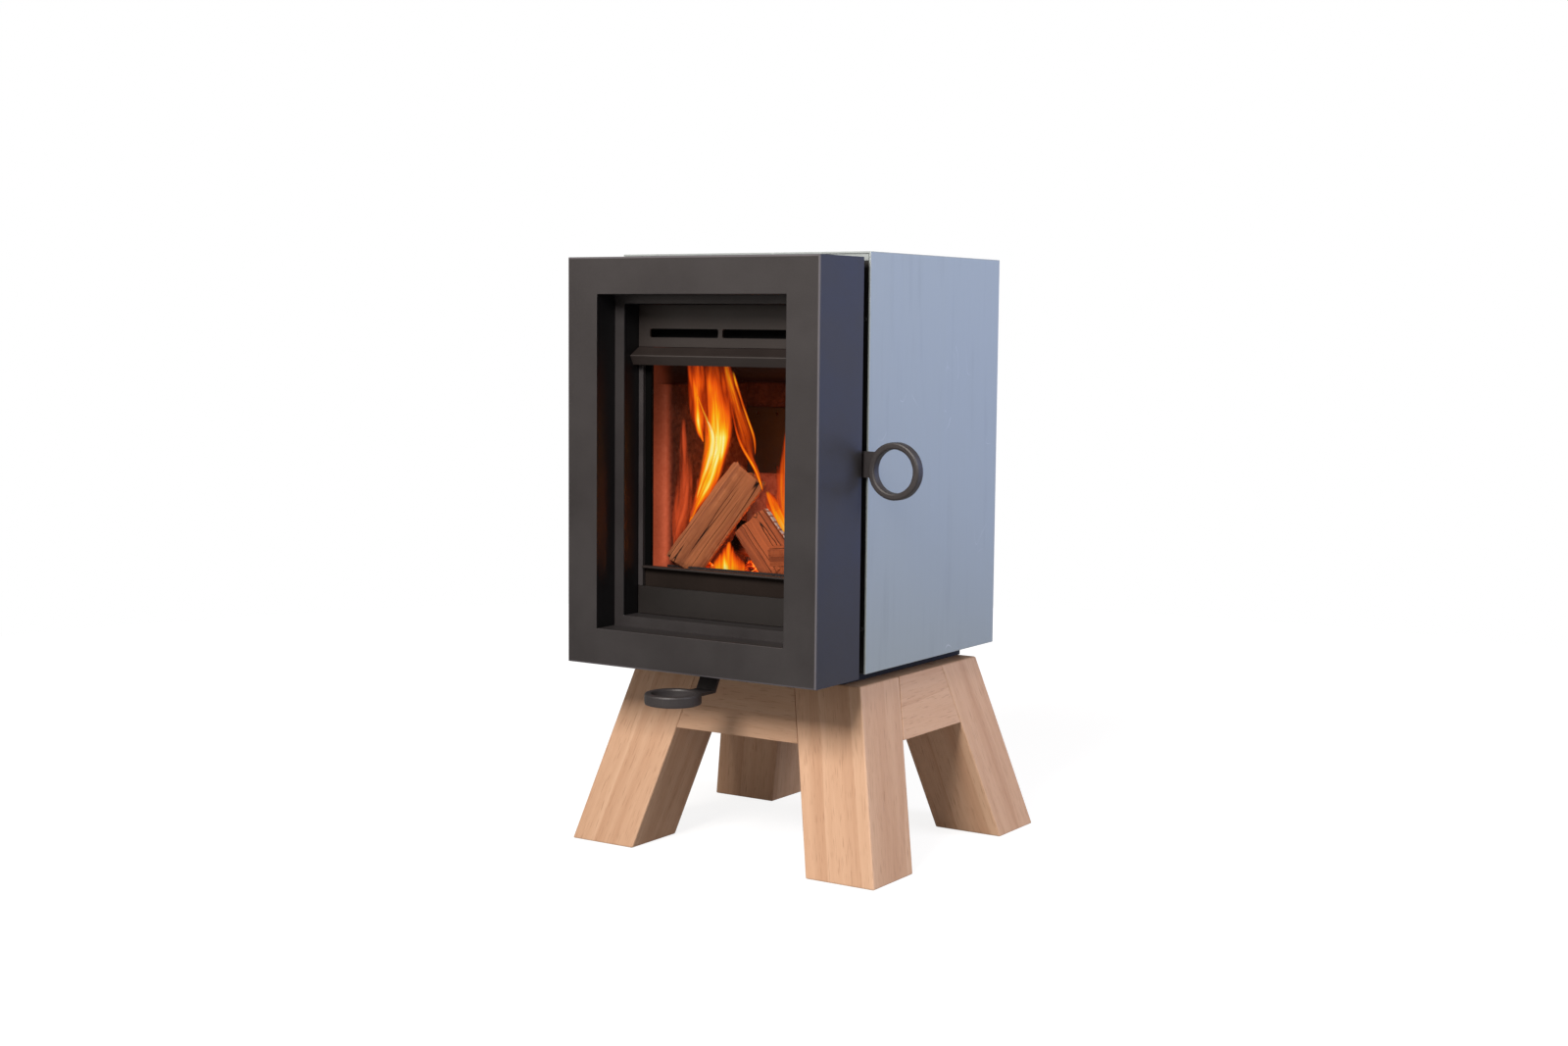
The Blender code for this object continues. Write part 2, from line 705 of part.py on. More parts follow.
def makeBodyHinges(body):
    """Lift-off hinges: a bracket on the front plate holds an upright pin."""
    back = plateFace - seatGap
    for name, middle in hingePlaces():
        lugTop = middle - runGap / 2
        lugLow = lugTop - lugThickness
        # The eye, and a tail back to the bracket's foot that keeps clear of the door's swinging corner.
        eye = arcPoints((pinX, pinY), lugRadius, 180 - degrees(acos(lugTailOut / lugRadius)), 360, 12)
        outline = eye + [(pinX + lugTailIn, pinY), (pinX + lugTailIn, back), (pinX - lugTailOut, back)]
        lug = addPiece("hinge_bracket_" + name, slabMesh(outline, "Z", lugLow, lugTop), "black_steel", body)
        foot = boxMesh(
            pinX - lugTailOut, pinX - lugTailOut + bracketWidth, back - bracketSheet, back,
            lugTop - bracketHeight, lugTop - lugThickness / 2,
        )
        join(lug, foot)
        cut(lug, rodMesh(pinRadius + seatGap, "Z", (pinX, pinY, middle), -2 * cutPast, 2 * cutPast))
        pin = turnedMesh(
            [
                (pinHeadRadius, lugLow - seatGap - pinHeadHeight), (pinHeadRadius, lugLow - seatGap),
                (pinRadius, lugLow - seatGap), (pinRadius, middle + lugThickness + pinTip - pinEdge),
                (pinRadius - pinEdge, middle + lugThickness + pinTip),
            ],
            "Z", (pinX, pinY, 0.0), pinSteps, closed=False,
        )
        addPiece("hinge_pin_" + name, pin, "zinc_steel", body, 0.0, 1, 40)


def makeKeeper(body):
    """Bent strip on the front plate: the latch's tongue goes behind its lip."""
    back = plateFace - seatGap
    lipFront = leverFront - runGap - keeperSheet
    left = latchX + tongueOffset - tongueWidth - runGap - keeperSheet
    low = latchZ - tongueLength - keeperBelowTongue
    outline = [
        (left, lipFront), (left + keeperLip, lipFront), (left + keeperLip, lipFront + keeperSheet),
        (left + keeperSheet, lipFront + keeperSheet), (left + keeperSheet, back - keeperSheet),
        (left + keeperWidth, back - keeperSheet), (left + keeperWidth, back), (left, back),
    ]
    addPiece("latch_keeper", slabMesh(outline, "Z", low, low + keeperHeight), "zinc_steel", body)


def join(piece, bm):
    """Add a closed mesh, drawn in stove coordinates, to a piece."""
    cut(piece, bm)
    union = piece.modifiers[-1]
    union.name = "join"
    union.operation = "UNION"


def hingePlaces():
    return (("lower", doorBottom + hingeFromEnd), ("upper", doorTop - hingeFromEnd))


# ---------------------------------------------------------------- door

def makeDoorShell(door):
    # Outer frame: side walls, front face and first reveal folded from one sheet.
    sheet = doorSheet
    outer = [(0.0, doorDepth)]
    outer += arcPoints((frameRadius, frameRadius), frameRadius, 180, 270, 4)
    edge = frameBorder
    outer += arcPoints((edge - frameInnerRadius, frameInnerRadius), frameInnerRadius, 270, 360, 2)
    revealEnd = firstReveal - seatGap
    outer += [
        (edge, revealEnd), (edge - sheet, revealEnd), (edge - sheet, sheet), (sheet, sheet),
        (sheet, doorDepth),
    ]
    stations = [(halfBox - inset, doorBottom + inset, doorTop - inset, y) for inset, y in outer]
    addPiece("door_frame", frameMesh(stations), "painted_steel", door, 0.0, 1, 35)

    # Inner frame: the narrow step and the second reveal.
    flangeX = openingHalf + stepFlange
    flangeLow = openingBottom - stepFlange
    flangeHigh = openingTop + stepFlange
    plateFront = doorDepth - sheet
    wallEnd = plateFront - seatGap
    stations = [
        (innerHalf, innerBottom, innerTop, firstReveal),
        (flangeX, flangeLow, flangeHigh, firstReveal),
        (flangeX, flangeLow, flangeHigh, firstReveal + sheet),
        (innerHalf + sheet, innerBottom - sheet, innerTop + sheet, firstReveal + sheet),
        (innerHalf + sheet, innerBottom - sheet, innerTop + sheet, wallEnd),
        (innerHalf, innerBottom, innerTop, wallEnd),
    ]
    addPiece("door_inner_frame", frameMesh(stations), "painted_steel", door, 0.0006)

    # Back plate: closes the hollow between the outer walls and the inner frame.
    outerX = halfBox - sheet - seatGap
    low = doorBottom + sheet + seatGap
    high = doorTop - sheet - seatGap
    stations = [
        (outerX, low, high, plateFront), (outerX, low, high, doorDepth),
        (innerHalf, innerBottom, innerTop, doorDepth), (innerHalf, innerBottom, innerTop, plateFront),
    ]
    plate = addPiece("door_back_plate", frameMesh(stations), "black_steel", door)
    cut(plate, rodMesh(boltRadius + seatGap, "Y", (latchX, doorDepth, latchZ), -cutPast, cutPast))

    # Seal rope, pressed by the firebox's front edge.
    middle = fireboxHalfWidth - fireboxSheet / 2
    sealLow = fireboxBottom + fireboxSheet / 2
    sealHigh = fireboxTop - fireboxSheet / 2
    front = doorDepth + seatGap
    back = fireboxFront - seatGap
    w = sealWidth / 2
    c = sealChamfer
    section = [
        (w - c, front), (w, front + c), (w, back - c), (w - c, back),
        (-w + c, back), (-w, back - c), (-w, front + c), (-w + c, front),
    ]
    stations = [(middle + out, sealLow - out, sealHigh + out, y) for out, y in section]
    addPiece("door_seal", frameMesh(stations), "seal_rope", door, 0.0, 1, 60)


def makeFirePanels(door):
    face = panelDepth
    # Upper panel with the two air slots.
    sheet = boxMesh(-panelHalf, panelHalf, face, face + doorSheet, noseTop + seatGap, innerTop - seatGap)
    panel = addPiece("air_panel", sheet, "painted_steel", door, 0.0004)
    slotLow = noseTop + slotAboveNose
    for side in (-1, 1):
        near = side * slotBridge / 2
        far = side * (slotBridge / 2 + slotWidth)
        outline = roundedOutline(min(near, far), max(near, far), slotLow, slotLow + slotHeight, slotRadius)
        cut(panel, slabMesh(outline, "Y", face - cutPast, face + cutPast))

    # Nose over the glass: a sheet bent to a V, its ridge towards the room.
    ridge = (face - noseReach, noseBottom + noseRise)
    lower = (ridge[0] + noseBack, noseBottom)
    back = (face + doorSheet, noseTop)
    upperSlope = Vector((face - ridge[0], noseTop - ridge[1])).normalized()
    lowerSlope = Vector((lower[0] - ridge[0], lower[1] - ridge[1])).normalized()
    upperIn = Vector((upperSlope.y, -upperSlope.x)) * noseSheet
    lowerIn = Vector((-lowerSlope.y, lowerSlope.x)) * noseSheet
    bisector = (upperSlope + lowerSlope).normalized()
    halfAngle = upperSlope.angle(lowerSlope) / 2
    ridgeIn = Vector(ridge) + bisector * noseSheet / sin(halfAngle)
    outline = [
        back, (face, noseTop), tuple(Vector(ridge) + upperSlope * noseBend),
        tuple(Vector(ridge) + lowerSlope * noseBend), lower,
        (lower[0] + lowerIn.x, lower[1] + lowerIn.y), tuple(ridgeIn),
        (face + upperIn.x, noseTop + upperIn.y), (back[0], noseTop + upperIn.y),
    ]
    addPiece("nose_bar", slabMesh(outline, "X", -panelHalf, panelHalf), "painted_steel", door)

    # Stiles at both sides of the glass.
    stileBack = face + glassFrameDepth - seatGap
    stileLow = lowerPanelTop + seatGap
    stileHigh = noseBottom - seatGap
    stileInner = panelHalf - stileWidth
    for name, side in (("stile_left", -1), ("stile_right", 1)):
        x0, x1 = sorted((side * stileInner, side * panelHalf))
        addPiece(name, boxMesh(x0, x1, face, stileBack, stileLow, stileHigh), "painted_steel", door, 0.0006)
    between = stileInner - seatGap
    addPiece("sill_bar", boxMesh(-between, between, face - sillReach, stileBack, sillBottom, sillTop),
             "painted_steel", door, 0.0005)

    bm = slabMesh(
        [
            (face, lowerPanelBottom), (face, lowerPanelTop), (stileBack, lowerPanelTop),
            (stileBack, lowerPanelTop - doorSheet), (face + doorSheet, lowerPanelTop - doorSheet),
            (face + doorSheet, lowerPanelBottom),
        ],
        "X", -panelHalf, panelHalf,
    )
    addPiece("lower_panel", bm, "painted_steel", door, 0.0006)


def makeGlass(door):
    # Frame behind the stiles, gasket, glass and the two clips that hold it.
    frameFront = panelDepth + glassFrameDepth
    frameBack = frameFront + glassFrameSheet
    frameLow = lowerPanelTop - glassFrameOverlap
    frameHigh = noseTop - glassFrameOverlap
    holeHalf = panelHalf - glassFrameWidth
    holeLow = sillBottom - glassUnderSill
    holeHigh = noseBottom + glassFrameOverlap
    addPiece(
        "glass_frame",
        frameMesh([
            (panelHalf, frameLow, frameHigh, frameFront), (panelHalf, frameLow, frameHigh, frameBack),
            (holeHalf, holeLow, holeHigh, frameBack), (holeHalf, holeLow, holeHigh, frameFront),
        ]),
        "painted_steel", door,
    )
    gasketFront = frameBack + seatGap
    gasketBack = gasketFront + gasketThickness
    out = glassOverlap
    addPiece(
        "glass_gasket",
        frameMesh([
            (holeHalf + out, holeLow - out, holeHigh + out, gasketFront),
            (holeHalf + out, holeLow - out, holeHigh + out, gasketBack),
            (holeHalf + gasketInset, holeLow - gasketInset, holeHigh + gasketInset, gasketBack),
            (holeHalf + gasketInset, holeLow - gasketInset, holeHigh + gasketInset, gasketFront),
        ]),
        "seal_rope", door,
    )
    glassFront = gasketBack + seatGap
    glassBack = glassFront + glassThickness
    addPiece(
        "glass",
        boxMesh(-holeHalf - out, holeHalf + out, glassFront, glassBack, holeLow - out, holeHigh + out),
        "ceramic_glass", door, 0.0004,
    )
    # Each clip bears on the glass's edge and reaches back over it to the glass frame.
    for name, edge, side in (("lower", holeLow - out, -1), ("upper", holeHigh + out, 1)):
        inner = edge - side * clipBite
        outer = edge + side * (clipHeight - clipBite)
        near = edge + side * (runGap + clipSheet)
        outline = [
            (glassBack + seatGap, inner), (glassBack + seatGap + clipSheet, inner),
            (glassBack + seatGap + clipSheet, near), (frameBack + seatGap + clipSheet, near),
            (frameBack + seatGap + clipSheet, outer), (frameBack + seatGap, outer),
            (frameBack + seatGap, edge + side * runGap), (glassBack + seatGap, edge + side * runGap),
        ]
        clip = slabMesh(outline, "X", -clipWidth / 2, clipWidth / 2)
        addPiece("glass_clip_" + name, clip, "zinc_steel", door)


def makeDoorHinges(door):
    """Door lugs: they drop onto the body's pins."""
    back = doorDepth + seatGap
    for name, middle in hingePlaces():
        low = middle + runGap / 2
        outline = arcPoints((pinX, pinY), lugRadius, -20, 200, 12)
        outline += [(pinX - lugRadius, back), (pinX + bracketWidth, back)]
        outline += [(pinX + bracketWidth, back + bracketSheet), (pinX + lugTailIn, back + bracketSheet)]
        plate = slabMesh(outline, "Z", low, low + lugThickness)
        lug = addPiece("door_lug_" + name, plate, "black_steel", door)
        cut(lug, rodMesh(pinRadius + seatGap, "Z", (pinX, pinY, middle), -2 * cutPast, 2 * cutPast))


def makeLatchBolt(door):
    head = leverBack + seatGap
    bolt = turnedMesh(
        [
            (boltRadius, doorDepth - boltLength), (boltRadius, head), (boltHeadRadius, head),
            (boltHeadRadius, head + boltHeadHeight - boltEdge),
            (boltHeadRadius - boltEdge, head + boltHeadHeight),
        ],
        "Y", (latchX, 0.0, latchZ), pinSteps, closed=False,
    )
    addPiece("latch_bolt", bolt, "zinc_steel", door, 0.0, 1, 40)
    bore = boltRadius + seatGap
    front = doorDepth + seatGap
    back = leverFront - seatGap
    section = [(bore, front), (spacerRadius, front), (spacerRadius, back), (bore, back)]
    spacer = turnedMesh(section, "Y", (latchX, 0.0, latchZ), pinSteps)
    addPiece("latch_spacer", spacer, "zinc_steel", door, 0.0, 1, 40)


# ---------------------------------------------------------------- handle

def makeHandle(handle):
    """Lever plate: a hub on the latch's bolt, a tab out to the ring and a tongue down behind the keeper."""
    ringOut = ringRadius + seatGap
    tabLow = latchZ - leverDrop
    tabHigh = tabLow + leverHeight
    startAngle = 180 - degrees(asin((tabHigh - handleZ) / ringOut))
    endAngle = 180 + degrees(asin((handleZ - tabLow) / ringOut))
    outline = arcPoints((handleX, handleZ), ringOut, startAngle, endAngle, 8)
    outline += [(latchX + leverNeck, tabLow)]
    tongueRight = latchX + tongueOffset
    tongueLeft = tongueRight - tongueWidth
    outline += [(tongueRight, latchZ - leverHub), (tongueRight, latchZ - tongueLength)]
    outline += [(tongueLeft + tongueChamfer, latchZ - tongueLength)]
    outline += [(tongueLeft, latchZ - tongueLength + tongueChamfer)]
    outline += arcPoints((latchX, latchZ), leverHub, 234, 100, 8)
    outline += [(latchX + leverShoulder, tabHigh)]
    lever = addPiece("handle_lever", slabMesh(outline, "Y", leverFront, leverBack), "cast_iron", handle)
    cut(lever, rodMesh(boltRadius + seatGap, "Y", (latchX, leverFront, latchZ), -cutPast, 2 * cutPast))
    addPiece("handle_ring", ringMesh("Y", (handleX, gapMiddle, handleZ)), "cast_iron", handle, 0.0, 1, 40)


# ---------------------------------------------------------------- air slide

def makeAirSlide(slide):
    ringMiddle = -airRingBeforeDoor
    ringZ = airArmTop - airArmThickness / 2
    addPiece("air_ring", ringMesh("Z", (0.0, ringMiddle, ringZ)), "cast_iron", slide, 0.0, 1, 40)

    # Arm: flat bar, stepped up to pass over the stool.
    half = airArmWidth / 2
    steps = 6
    reach = ringRadius + seatGap
    nose = []
    for step in range(steps + 1):
        x = -half + airArmWidth * step / steps
        nose.append((x, ringMiddle + sqrt(reach ** 2 - x ** 2)))
    rise = airPlateTop - airArmTop
    t = airArmThickness
    end = shutterFront - seatGap
    bendStart = airArmFlat
    bendEnd = airArmFlat + airArmSlope
    slopeLength = hypot(rise, airArmSlope)
    shift = t * (slopeLength - airArmSlope) / rise
    stations = []
    for x, y in nose:
        side = [
            (x, y, airArmTop), (x, bendStart, airArmTop), (x, bendEnd, airPlateTop), (x, end, airPlateTop),
            (x, end, airPlateTop - t), (x, bendEnd + shift, airPlateTop - t),
            (x, bendStart + shift, airArmTop - t), (x, y, airArmTop - t),
        ]
        stations.append(side)
    addPiece("air_arm", loopMesh(stations, closed=False), "cast_iron", slide)

    shutter = addPiece(
        "air_shutter",
        boxMesh(
            -shutterHalfWidth, shutterHalfWidth,
            shutterFront, shutterBack,
            airPlateTop - t, airPlateTop,
        ),
        "zinc_steel", slide,
    )
    cut(shutter, inletMesh(airPlateTop))


def main():
    for old in list(bpy.data.objects):
        bpy.data.objects.remove(old, do_unlink=True)
    body = emptyAt("stove", (0.0, 0.0, 0.0), None)
    door = emptyAt("door_axis", (pinX, pinY, doorBottom), body)
    handle = emptyAt("latch_axis", (latchX, gapMiddle, latchZ), door)
    slide = emptyAt("air_slide_origin", (0.0, -airRingBeforeDoor, airArmTop), body)
    makeStool(body)
    makeCasing(body)
    makeFirebox(body)
    makeAirInlet(body)
    makeBodyHinges(body)
    makeKeeper(body)
    makeDoorShell(door)
    makeFirePanels(door)
    makeGlass(door)
    makeDoorHinges(door)
    makeLatchBolt(door)
    makeHandle(handle)
    makeAirSlide(slide)


main()
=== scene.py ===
# Wood burning stove on its oak stool: finishes, fire, small fixings, room and camera
import math
import random
import bpy
import bmesh
from mathutils import Matrix, Vector


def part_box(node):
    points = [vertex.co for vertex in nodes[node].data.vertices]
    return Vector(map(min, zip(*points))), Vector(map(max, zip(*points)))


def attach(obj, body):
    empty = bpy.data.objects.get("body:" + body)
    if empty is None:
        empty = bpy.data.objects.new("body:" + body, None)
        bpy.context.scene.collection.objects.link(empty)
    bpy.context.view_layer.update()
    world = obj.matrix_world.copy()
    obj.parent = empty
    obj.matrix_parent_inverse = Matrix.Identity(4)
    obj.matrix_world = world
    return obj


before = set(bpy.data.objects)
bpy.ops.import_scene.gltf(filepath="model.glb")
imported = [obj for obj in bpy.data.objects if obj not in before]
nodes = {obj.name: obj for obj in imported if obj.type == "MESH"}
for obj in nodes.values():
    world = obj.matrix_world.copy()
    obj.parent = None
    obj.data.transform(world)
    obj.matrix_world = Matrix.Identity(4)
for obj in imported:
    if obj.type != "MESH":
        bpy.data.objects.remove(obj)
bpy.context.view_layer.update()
print("frame loaded:", len(nodes), "nodes")


def toLinear(hexColour):
    channels = [int(hexColour[i:i + 2], 16) / 255 for i in (1, 3, 5)]
    return [c / 12.92 if c <= 0.04045 else ((c + 0.055) / 1.055) ** 2.4 for c in channels] + [1.0]


def newFinish(name, settings):
    finish = bpy.data.materials.new(name)
    finish.use_nodes = True
    shader = finish.node_tree.nodes["Principled BSDF"]
    for socket, value in settings.items():
        shader.inputs[socket].default_value = value
    return finish, finish.node_tree, shader


# one node with its settings and links; a key is a socket's name or number, or one of the node's own settings
def addNode(tree, kind, settings=None, links=None):
    node = tree.nodes.new(kind)
    for key, value in (settings or {}).items():
        if key == "stops":
            stops = node.color_ramp.elements
            while len(stops) < len(value):
                stops.new(0.5)
            for stop, (place, colour) in zip(stops, value):
                stop.position = place
                stop.color = toLinear(colour) if isinstance(colour, str) else (colour, colour, colour, 1)
        elif isinstance(key, int) or key in node.inputs.keys():
            node.inputs[key].default_value = value
        else:
            setattr(node, key, value)
    for key, source in (links or {}).items():
        tree.links.new(source, node.inputs[key])
    return node


# how far a point stands from the middle between two faces
def fromMiddle(tree, socket, low, high):
    apart = addNode(tree, "ShaderNodeMath", {"operation": "SUBTRACT", 1: (low + high) / 2}, {0: socket})
    return addNode(tree, "ShaderNodeMath", {"operation": "ABSOLUTE"}, {0: apart.outputs[0]}).outputs[0]


def wear(name, finish):
    piece = nodes[name]
    for slot in piece.material_slots:
        slot.material = finish


# Finishes of the stove's own parts

oakLook = {
    "pale": "#D9B394", "middle": "#CDA485", "deep": "#B98C6C", "pore": "#A0765A",
    "ringSpacing": 7.0, "fibreAcross": 0.9, "fibreAlong": 60.0, "boardWidth": 52.0,  # mm
}


# European oak, planed, sanded and oiled: pale honey bands along the grain, short dark pores, a low sheen
def oiledOak(name, grainLine, offset, tone):
    finish, tree, shader = newFinish(name, {"Roughness": 0.5, "IOR": 1.45, "Specular IOR Level": 0.35})
    coords = addNode(tree, "ShaderNodeTexCoord").outputs["Object"]
    turn = Vector(grainLine).rotation_difference(Vector((0, 0, 1))).to_euler()
    along = addNode(tree, "ShaderNodeMapping", {"Rotation": turn, "Location": offset}, {"Vector": coords}).outputs[0]
    bend = addNode(tree, "ShaderNodeTexNoise", {"Scale": 3.0, "Detail": 2.0}, {"Vector": along})
    shift = addNode(tree, "ShaderNodeVectorMath", {"operation": "SCALE", "Scale": 0.018}, {0: bend.outputs["Color"]})
    wavy = addNode(tree, "ShaderNodeVectorMath", {"operation": "ADD"}, {0: along, 1: shift.outputs[0]}).outputs[0]
    ringCoords = addNode(tree, "ShaderNodeMapping", {"Scale": (1.0, 1.0, 0.10)}, {"Vector": wavy}).outputs[0]
    rings = addNode(tree, "ShaderNodeTexWave", {
        "wave_type": "RINGS", "rings_direction": "Z", "wave_profile": "SAW",
        "Scale": 314.0 / oakLook["ringSpacing"] / 6.28, "Distortion": 3.0, "Detail": 2.0, "Detail Scale": 1.5,
    }, {"Vector": ringCoords})
    fibreCoords = addNode(tree, "ShaderNodeMapping", {
        "Scale": (1000 / oakLook["fibreAcross"], 1000 / oakLook["fibreAcross"], 1000 / oakLook["fibreAlong"]),
    }, {"Vector": wavy}).outputs[0]
    fibres = addNode(tree, "ShaderNodeTexNoise", {"Scale": 1.0, "Detail": 3.0, "Roughness": 0.6},
                     {"Vector": fibreCoords})
    bandCoords = addNode(tree, "ShaderNodeMapping", {"Scale": (60, 60, 2.2)}, {"Vector": wavy}).outputs[0]
    bands = addNode(tree, "ShaderNodeTexNoise", {"Scale": 1.0, "Detail": 3.0, "Roughness": 0.55},
                    {"Vector": bandCoords})
    ringShare = addNode(tree, "ShaderNodeMath", {"operation": "MULTIPLY", 1: 0.20}, {0: rings.outputs["Fac"]})
    mixed = addNode(tree, "ShaderNodeMath", {"operation": "MULTIPLY_ADD", 1: 0.75},
                    {0: bands.outputs[0], 2: ringShare.outputs[0]})
    mixed = addNode(tree, "ShaderNodeMath", {"operation": "MULTIPLY_ADD", 1: 0.28},
                    {0: fibres.outputs[0], 2: mixed.outputs[0]})
    base = addNode(tree, "ShaderNodeValToRGB", {
        "stops": [(0.40, oakLook["pale"]), (0.66, oakLook["middle"]), (1.0, oakLook["deep"])],
    }, {0: mixed.outputs[0]})
    # pores: short dark dashes, drawn about twice as coarse as they are so that they show
    poreCoords = addNode(tree, "ShaderNodeMapping", {"Scale": (620, 620, 42)}, {"Vector": wavy}).outputs[0]
    pores = addNode(tree, "ShaderNodeTexNoise", {"Scale": 1.0, "Detail": 1.0}, {"Vector": poreCoords})
    poreMask = addNode(tree, "ShaderNodeMapRange", {1: 0.60, 2: 0.72, 3: 0.0, 4: 0.45}, {0: pores.outputs[0]})
    pored = addNode(tree, "ShaderNodeMix", {"data_type": "RGBA", 7: toLinear(oakLook["pore"])},
                    {0: poreMask.outputs[0], 6: base.outputs[0]})
    # glued boards: each one has its own tone
    boardCoords = addNode(tree, "ShaderNodeSeparateXYZ", {}, {0: along})
    board = addNode(tree, "ShaderNodeMath", {"operation": "MULTIPLY", 1: 1000 / oakLook["boardWidth"]},
                    {0: boardCoords.outputs[0]})
    board = addNode(tree, "ShaderNodeMath", {"operation": "FLOOR"}, {0: board.outputs[0]})
    boardTone = addNode(tree, "ShaderNodeTexWhiteNoise", {"noise_dimensions": "1D"}, {"W": board.outputs[0]})
    brightness = addNode(tree, "ShaderNodeMapRange", {3: tone - 0.05, 4: tone + 0.05}, {0: boardTone.outputs[0]})
    toned = addNode(tree, "ShaderNodeHueSaturation", {"Saturation": 1.0},
                    {"Value": brightness.outputs[0], "Color": pored.outputs[2]})
    tree.links.new(toned.outputs[0], shader.inputs["Base Color"])
    rough = addNode(tree, "ShaderNodeMapRange", {3: 0.42, 4: 0.60}, {0: fibres.outputs[0]})
    tree.links.new(rough.outputs[0], shader.inputs["Roughness"])
    height = addNode(tree, "ShaderNodeMath", {"operation": "SUBTRACT"},
                     {0: fibres.outputs[0], 1: poreMask.outputs[0]})
    bump = addNode(tree, "ShaderNodeBump", {"Strength": 0.25, "Distance": 0.0006}, {"Height": height.outputs[0]})
    tree.links.new(bump.outputs[0], shader.inputs["Normal"])
    return finish


# colours of the painted shade in the door's opening and beside the glass, and of the painted highlight on the frame's
# front edges
paintLook = {
    "burntAndPaintedShade": "#040404", "sootHazeAndPaintedShade": "#08080C", "paintedEdgeHighlight": "#807D84",
    "border": 0.048, "edgeWidth": 0.0026,  # metres; the border is just short of the frame's own
}


